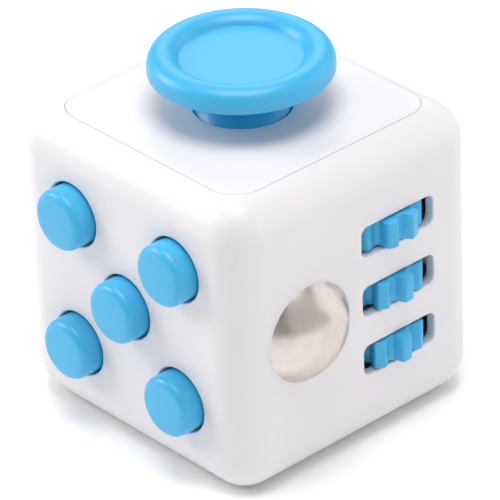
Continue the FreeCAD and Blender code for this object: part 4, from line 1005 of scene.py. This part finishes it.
def toothed_disc():
    floats = RULE_INPUTS + ["Low", "High", "Front edge", "Back edge", "Bore", "Phase"]
    tree, given = new_tree("toothed_disc", floats, {"Steps": "Int", "Rings": "Int", "Finish": "Material"})
    at = add(tree, "ShaderNodeSeparateXYZ", {0: add(tree, "GeometryNodeInputPosition")})
    known = dict(given, x=at.outputs[0], y=at.outputs[1])
    work_out(tree, "ShaderNodeMath", known, [
        ("columns", "ADD", "Steps", 1.0), ("rows", "ADD", "Rings", 3.0), ("turn", "ADD", "x", 0.5),
        ("start", "MULTIPLY", "turn", math.tau), ("before", "SUBTRACT", "start", ASIDE),
        ("after", "ADD", "start", ASIDE), ("gaps", "ADD", "Rings", 2.0), ("share", "ADD", "y", 0.5),
        ("ring", "MULTIPLY", "share", "gaps"), ("first", "SUBTRACT", "ring", 1.0),
        ("bends", "SUBTRACT", "Rings", 1.0), ("along", "DIVIDE", "first", "bends"),
        ("held", "MAXIMUM", "along", 0.0), ("kept", "MINIMUM", "held", 1.0),
        ("half turn", "MULTIPLY", "kept", math.pi), ("bend", "SUBTRACT", "half turn", math.pi / 2),
        ("front", "GREATER_THAN", "bend", 0.0), ("edges", "SUBTRACT", "Front edge", "Back edge"),
        ("share of edges", "MULTIPLY", "edges", "front"), ("edge", "ADD", "share of edges", "Back edge"),
        ("sine", "SINE", "bend"), ("cosine", "COSINE", "bend"), ("lift", "MULTIPLY", "sine", "edge"),
        ("room", "SUBTRACT", 1.0, "cosine"), ("inset", "MULTIPLY", "room", "edge"),
        ("low side", "ADD", "Low", "Back edge"), ("high side", "SUBTRACT", "High", "Front edge"),
        ("tall", "SUBTRACT", "high side", "low side"), ("share of tall", "MULTIPLY", "tall", "front"),
        ("side", "ADD", "low side", "share of tall"), ("height", "ADD", "side", "lift"),
        ("last", "SUBTRACT", "gaps", 0.5), ("closing", "GREATER_THAN", "ring", "last"),
        ("drop", "SUBTRACT", "Low", "height"), ("closing drop", "MULTIPLY", "drop", "closing"),
        ("level", "ADD", "height", "closing drop"), ("ends", "ADD", "Rings", 1.0),
        ("middle", "MULTIPLY", "ends", 0.5), ("from middle", "SUBTRACT", "ring", "middle"),
        ("away", "ABSOLUTE", "from middle"), ("reach", "MULTIPLY", "Rings", 0.5),
        ("bored", "GREATER_THAN", "away", "reach")])
    rule = {key: given[key] for key in RULE_INPUTS}
    for name in ("start", "before", "after"):
        radius = add(tree, "GeometryNodeGroup", dict(rule, Angle=known[name]), node_tree=RIM_RULE)
        work_out(tree, "ShaderNodeMath", known, [
            ("to", "ADD", name, "Phase"), ("across", "COSINE", "to"), ("up", "SINE", "to")])
        way = add(tree, "ShaderNodeCombineXYZ", {0: known["across"], 1: known["up"]})
        known[name + " rim"] = add(tree, "ShaderNodeVectorMath", {0: way, "Scale": radius},
                                   operation="SCALE")
        known[name + " way"] = way
    work_out(tree, "ShaderNodeVectorMath", known, [
        ("along rim", "SUBTRACT", "after rim", "before rim"),
        ("outward", "CROSS_PRODUCT", "along rim", (0, 0, 1)), ("unit", "NORMALIZE", "outward")])
    for name, way, size in (("drawn in", "unit", "inset"), ("bore", "start way", "Bore")):
        scaled = {0: known[way], "Scale": known[size]}
        known[name] = add(tree, "ShaderNodeVectorMath", scaled, operation="SCALE")
    work_out(tree, "ShaderNodeVectorMath", known, [("edge place", "SUBTRACT", "start rim", "drawn in")])
    flat = add(tree, "ShaderNodeMix", {0: known["bored"], 4: known["edge place"], 5: known["bore"]},
               data_type="VECTOR")
    lifted = add(tree, "ShaderNodeCombineXYZ", {2: known["level"]})
    place = add(tree, "ShaderNodeVectorMath", {0: flat.outputs[1], 1: lifted}, operation="ADD")
    grid = add(tree, "GeometryNodeMeshGrid", {"Size X": 1.0, "Size Y": 1.0, "Vertices X": known["columns"],
                                              "Vertices Y": known["rows"]})
    bent = add(tree, "GeometryNodeSetPosition", {"Geometry": grid, "Position": place})
    closed = add(tree, "GeometryNodeMergeByDistance", {"Geometry": bent, "Distance": 1e-6})
    return close_tree(tree, given, closed)


TOOTHED_DISC = toothed_disc()
print("the toothed disc's tree has %d nodes" % len(TOOTHED_DISC.nodes))

# %% [markdown]
# ## The gears
# Three gears, ten blunt teeth each, turn on one upright axle behind the slots. Each has stopped at an
# angle of its own, as gears under a thumb do. The tip and root radii are the CAD gear's.

# %% Three gears
GEAR = {"Teeth": 10.0, "Tip radius": 5.0 * MM, "Root radius": 3.92 * MM, "Tip half": 0.42 * MM,
        "Foot half": 1.18 * MM, "Front edge": 0.24 * MM, "Back edge": 0.24 * MM, "Bore": 1.05 * MM,
        "Steps": 400, "Rings": 8}
GEAR_PHASES = {"gear_bottom": 0.0, "gear_middle": 5.0, "gear_top": 18.4}

for name, phase in GEAR_PHASES.items():
    low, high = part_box(name)
    half = (high.z - low.z) / 2
    values = dict(GEAR, Low=-half, High=half, Phase=math.radians(phase), Finish=finishes["blue_abs"])
    gear = as_object(name + "_wheel", grow(name, TOOTHED_DISC, values), "top",
                     (middle("gear_axle").x, middle("gear_axle").y, middle(name).z))
    finish(gear, name, "blue_abs", name)
    print("%s: %d faces" % (gear.name, len(gear.data.polygons)))

# %% [markdown]
# ## The dial
# The dial on the back is the same tree with other numbers: 24 shallow grooves for grip, a soft front
# edge and no bore. Its flat front is then redrawn as rings that close in on a dimple for a fingertip, off
# centre. A hub joins the dial to the disc that holds it from inside.

# %% The dial
DIAL_RADIUS = 10.1 * MM
DIAL_PROUD = 2.0 * MM
DIAL_LOW = -0.7 * MM
DIAL_HUB_END = -2.9 * MM
DIAL_HUB = 2.9 * MM
DIAL_HUB_TOP = DIAL_LOW + 0.3 * MM
DIAL_HUB_ROUND = 0.15 * MM
DIMPLE_PLACE = 4.6 * MM
DIMPLE_SPHERE = 7.0 * MM
DIMPLE_DEEP = 1.1 * MM
DIMPLE_LIP = 0.4 * MM
DIMPLE_ROUND = 0.9 * MM
DIMPLE_RINGS = 10
DIAL = {"Teeth": 24.0, "Tip radius": DIAL_RADIUS, "Root radius": DIAL_RADIUS - 0.32 * MM,
        "Tip half": 0.84 * MM, "Foot half": 1.27 * MM, "Low": DIAL_LOW, "High": DIAL_PROUD,
        "Front edge": 0.32 * MM, "Back edge": 0.15 * MM, "Bore": 0.0, "Phase": 0.0, "Steps": 576, "Rings": 14}


def boundary_walk(shape):
    """The points of a shape's one open edge, in order."""
    walk = [next(vert for vert in shape.verts if vert.is_boundary)]
    seen = set(walk)
    while True:
        ahead = [edge.other_vert(walk[-1]) for edge in walk[-1].link_edges if edge.is_boundary]
        fresh = [vert for vert in ahead if vert not in seen]
        if not fresh:
            return walk
        walk.append(fresh[0])
        seen.add(fresh[0])


def press_dimple(shape):
    """Redraw the dial's flat front as rings that close in on an off-centre dimple."""
    pole = [vert for vert in shape.verts if vert.co.xy.length < MERGE and vert.co.z > 0]
    bmesh.ops.delete(shape, geom=pole, context="VERTS")
    rim = boundary_walk(shape)
    heart = Vector((0, DIMPLE_PLACE))
    start = math.atan2(rim[0].co.y, rim[0].co.x)
    side = math.copysign(math.tau / len(rim), rim[0].co.xy.cross(rim[1].co.xy))
    ways = []
    for at in range(len(rim)):
        angle = start + side * at
        ways.append((Vector((math.cos(angle), math.sin(angle))) * DIAL_RADIUS - heart).normalized())
    centre_up = DIMPLE_SPHERE - DIMPLE_DEEP
    mouth = math.sqrt(DIMPLE_SPHERE ** 2 - centre_up ** 2)
    outs = [mouth * step / DIMPLE_RINGS for step in range(DIMPLE_RINGS, 0, -1)]
    bowl = [(out, centre_up - math.sqrt(DIMPLE_SPHERE ** 2 - out ** 2)) for out in outs]
    profile = soften([(mouth + DIMPLE_LIP, 0)] + bowl, [DIMPLE_ROUND] + [0] * (DIMPLE_RINGS - 2))
    ring = rim
    for out, height in profile:
        inner = [shape.verts.new((*(heart + way * out), DIAL_PROUD + height)) for way in ways]
        for at in range(len(ring)):
            after = (at + 1) % len(ring)
            shape.faces.new((ring[at], ring[after], inner[after], inner[at]))
        ring = inner
    shape.faces.new(ring)
    return shape


back_face = on_face("back", CENTRE)
dial_shape = press_dimple(grow("dial", TOOTHED_DISC, dict(DIAL, Finish=finishes["blue_abs"])))
dial = as_object("spin_dial", dial_shape, "back", back_face)
hub_profile = soften([(0, DIAL_HUB_END), (DIAL_HUB, DIAL_HUB_END), (DIAL_HUB, DIAL_HUB_TOP),
                      (0, DIAL_HUB_TOP)], [DIAL_HUB_ROUND, 0])
join(dial, as_object("hub", turned(hub_profile, 64), "back", back_face))
finish(dial, "dial", "blue_abs", "dial", sharp=50)
print("dial: %d faces" % len(dial.data.polygons))

# %% [markdown]
# ## The rocker
# The rocker on the left tips to and fro like a light switch. From the side it is a shallow V in front,
# with ends that are arcs about its pin, so that the gap stays even as it tips. It is a prism of that
# outline with a bevel round every edge, leaning as the CAD rocker rests.

# %% The rocker
ROCKER_LEAN = math.radians(-10)
ROCKER_HALF = 3.8 * MM
ROCKER_DIP = 2.9 * MM
ROCKER_TIP = 6.4 * MM
ROCKER_ANGLE = math.radians(10)
ROCKER_EDGE = 0.3 * MM
NOSE_REACH = 2.8 * MM
NOSE_HALF = (1.0 * MM, 0.5 * MM)
NOSE_ROUND = 0.2 * MM
NOSE_TAPER = 0.1 * MM
NOSE_TIP = 0.15 * MM


def rocker_outline():
    """Across the rocker from the side: (out, up) about its pin."""
    tip_out = ROCKER_DIP + ROCKER_TIP * math.tan(ROCKER_ANGLE)
    reach = math.hypot(tip_out, ROCKER_TIP)
    start = math.atan2(ROCKER_TIP, tip_out)
    end = math.radians(90.6)
    upper = [Vector(point) for point in arc(reach, start, end, 12)]
    upper.append(Vector((-0.9 * MM, 1.3 * MM)))
    dip = [Vector((ROCKER_DIP + 0.02 * MM, 0.35 * MM)), Vector((ROCKER_DIP + 0.09 * MM, 0.9 * MM))]
    mirrored = [Vector((point.x, -point.y)) for point in reversed(dip + upper)]
    return mirrored + dip + upper


def make_rocker():
    pin = middle("rocker_pin")
    outline = rocker_outline()
    rings = [[Vector((across, point.y, point.x)) for point in outline]
             for across in (-ROCKER_HALF, ROCKER_HALF)]
    rocker = as_object("flip_rocker", loft(rings), "left", pin)
    soft = rocker.modifiers.new("soft", "BEVEL")
    soft.width = ROCKER_EDGE
    soft.segments = 4
    soft.limit_method = "ANGLE"
    soft.angle_limit = math.radians(35)
    settle(rocker)
    nose = [raised(rounded_ring(NOSE_HALF[0] - inset, NOSE_HALF[1] - inset, NOSE_ROUND, 3), height)
            for height, inset in ((-NOSE_REACH, NOSE_TAPER), (-NOSE_REACH + NOSE_TIP, 0), (0, 0))]
    join(rocker, as_object("nose", loft(nose), "left", pin))
    lean = Matrix.Translation(pin) @ Matrix.Rotation(ROCKER_LEAN, 4, "Y") @ Matrix.Translation(-pin)
    rocker.data.transform(lean)
    finish(rocker, "rocker", "blue_abs", "rocker", sharp=50)
    return rocker


rocker = make_rocker()
print("rocker: %d faces" % len(rocker.data.polygons))

# %% [markdown]
# ## Springs
# Eight small compression springs push the toys back. A spring is a circle of wire swept along a helix, so
# its tree has four sizes: the coil's radius, the wire's, the turns and the length. The five button
# springs are alike, so they are one coil placed on five points, and made real at the end.

# %% The spring tree
def spring_tree():
    tree, given = new_tree("spring", ["Radius", "Wire", "Turns", "Length"],
                           {"Points": "Geometry", "Finish": "Material"})
    known = dict(given)
    work_out(tree, "ShaderNodeMath", known, [
        ("both ends", "MULTIPLY", "Wire", 2.0), ("rise", "SUBTRACT", "Length", "both ends")])
    helix = add(tree, "GeometryNodeCurveSpiral", {
        "Resolution": 28, "Rotations": given["Turns"], "Start Radius": given["Radius"],
        "End Radius": given["Radius"], "Height": known["rise"]})
    section = add(tree, "GeometryNodeCurvePrimitiveCircle", {"Resolution": 10, "Radius": given["Wire"]})
    wire = add(tree, "GeometryNodeCurveToMesh", {"Curve": helix, "Profile Curve": section, "Fill Caps": True})
    lift = add(tree, "ShaderNodeCombineXYZ", {2: given["Wire"]})
    lifted = add(tree, "GeometryNodeTransform", {"Geometry": wire, "Translation": lift})
    return close_tree(tree, given, lifted)


SPRING = spring_tree()
SPRING_SETS = [
    ("button_springs", [name.replace("button", "spring") for name in BUTTON_NAMES], "back", 1.45, 0.15, 4.0),
    ("ball_carriage_spring", ["ball_spring"], "right", 2.2, 0.12, 3.0),
    ("stick_return_spring", ["stick_spring"], "top", 1.9, 0.2, 4.0),
    ("plunger_return_spring", ["plunger_spring"], "right", 0.85, 0.12, 4.0),
]


def starts(boxes, toward):
    """Where pieces that run towards a face begin, as seen by a shape that faces up."""
    out = OUTWARDS[toward]
    back = TOWARDS[toward].inverted()
    return [back @ ((low + high) / 2 - out * abs((high - low).dot(out)) / 2) for low, high in boxes]


def length_towards(box, toward):
    """How long a box is in the direction of a face."""
    return abs((box[1] - box[0]).dot(OUTWARDS[toward]))


for name, nodes, toward, radius, wire, turns in SPRING_SETS:
    boxes = [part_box(node) for node in nodes]
    length = length_towards(boxes[0], toward)
    values = {"Radius": radius * MM, "Wire": wire * MM, "Turns": turns, "Length": length,
              "Finish": finishes["spring_wire"]}
    spring = as_object(name, grow(name, SPRING, values, starts(boxes, toward)), toward)
    finish(spring, "body", "spring_wire", *nodes)
    print("%s: %.1f mm long" % (name, length / MM))

# %% [markdown]
# ## Screws
# Small pan-head screws hold the plates. One tree makes a screw, with a cross recess cut in its head and a
# thread that winds along its shank, and puts a copy on each point of a set.

# %% The screw tree
HEAD_HEIGHT = 0.8 * MM
HEAD_RADIUS = 1.0 * MM
SHANK_RADIUS = 0.6 * MM
THREAD_PITCH = 0.45 * MM
THREAD_DEPTH = 0.09 * MM


def screw_tree():
    floats = ["Length", "Head radius", "Head height", "Shank radius", "Pitch", "Depth"]
    tree, given = new_tree("screw", floats, {"Points": "Geometry", "Finish": "Material"})
    grid = add(tree, "GeometryNodeMeshGrid", {"Size X": 1.0, "Size Y": 1.0,
                                              "Vertices X": 21, "Vertices Y": 61})
    at = add(tree, "ShaderNodeSeparateXYZ", {0: add(tree, "GeometryNodeInputPosition")})
    known = dict(given, x=at.outputs[0], y=at.outputs[1])
    work_out(tree, "ShaderNodeMath", known, [
        ("turn", "ADD", "x", 0.5), ("angle", "MULTIPLY", "turn", math.tau), ("share", "ADD", "y", 0.5),
        ("height", "MULTIPLY", "share", "Length"), ("winds", "DIVIDE", "height", "Pitch"),
        ("wind", "MULTIPLY", "winds", math.tau), ("phase", "SUBTRACT", "angle", "wind"),
        ("wave", "COSINE", "phase"), ("swell", "ADD", "wave", 1.0), ("half depth", "MULTIPLY", "Depth", 0.5),
        ("cut", "MULTIPLY", "swell", "half depth"), ("thread", "SUBTRACT", "Shank radius", "cut"),
        ("from middle", "ABSOLUTE", "y"), ("inside", "LESS_THAN", "from middle", 0.495),
        ("radius", "MULTIPLY", "thread", "inside"), ("cosine", "COSINE", "angle"), ("sine", "SINE", "angle"),
        ("across", "MULTIPLY", "cosine", "radius"), ("up", "MULTIPLY", "sine", "radius"),
        ("head middle", "MULTIPLY", "Head height", -0.5), ("recess long", "MULTIPLY", "Head radius", 1.2),
        ("recess wide", "MULTIPLY", "Head radius", 0.26), ("recess place", "MULTIPLY", "Head height", -1.0)])
    place = add(tree, "ShaderNodeCombineXYZ", {0: known["across"], 1: known["up"], 2: known["height"]})
    bent = add(tree, "GeometryNodeSetPosition", {"Geometry": grid, "Position": place})
    shank = add(tree, "GeometryNodeMergeByDistance", {"Geometry": bent, "Distance": 1e-6})
    head = add(tree, "GeometryNodeMeshCylinder", {"Vertices": 36, "Radius": given["Head radius"],
                                                  "Depth": given["Head height"]})
    lower = add(tree, "ShaderNodeCombineXYZ", {2: known["head middle"]})
    recessed = add(tree, "GeometryNodeTransform", {"Geometry": head, "Translation": lower})
    lift = add(tree, "ShaderNodeCombineXYZ", {2: known["recess place"]})
    for along, across in (("recess long", "recess wide"), ("recess wide", "recess long")):
        size = add(tree, "ShaderNodeCombineXYZ", {0: known[along], 1: known[across], 2: given["Head height"]})
        block = add(tree, "GeometryNodeMeshCube", {"Size": size})
        cutter = add(tree, "GeometryNodeTransform", {"Geometry": block, "Translation": lift})
        recessed = add(tree, "GeometryNodeMeshBoolean", {"Mesh 1": recessed, "Mesh 2": cutter},
                       operation="DIFFERENCE", solver="EXACT")
    whole = add(tree, "GeometryNodeJoinGeometry", {0: recessed})
    tree.links.new(shank.outputs[0], whole.inputs[0])
    return close_tree(tree, given, whole)


SCREW = screw_tree()
for name, toward in SCREW_SETS.items():
    seats = [point + Vector((0, 0, HEAD_HEIGHT)) for point in starts(screws[name], toward)]
    length = length_towards(screws[name][0], toward) - HEAD_HEIGHT
    values = {"Length": length, "Head radius": HEAD_RADIUS, "Head height": HEAD_HEIGHT,
              "Shank radius": SHANK_RADIUS, "Pitch": THREAD_PITCH, "Depth": THREAD_DEPTH,
              "Finish": finishes["steel_hardware"]}
    fixing = as_object(name + "_threaded", grow(name, SCREW, values, seats), toward)
    finish(fixing, "dial" if name == "dial_screw" else "body", "steel_hardware", name, sharp=35)
    print("%s: %d, %.1f mm under the head" % (name, len(seats), length / MM))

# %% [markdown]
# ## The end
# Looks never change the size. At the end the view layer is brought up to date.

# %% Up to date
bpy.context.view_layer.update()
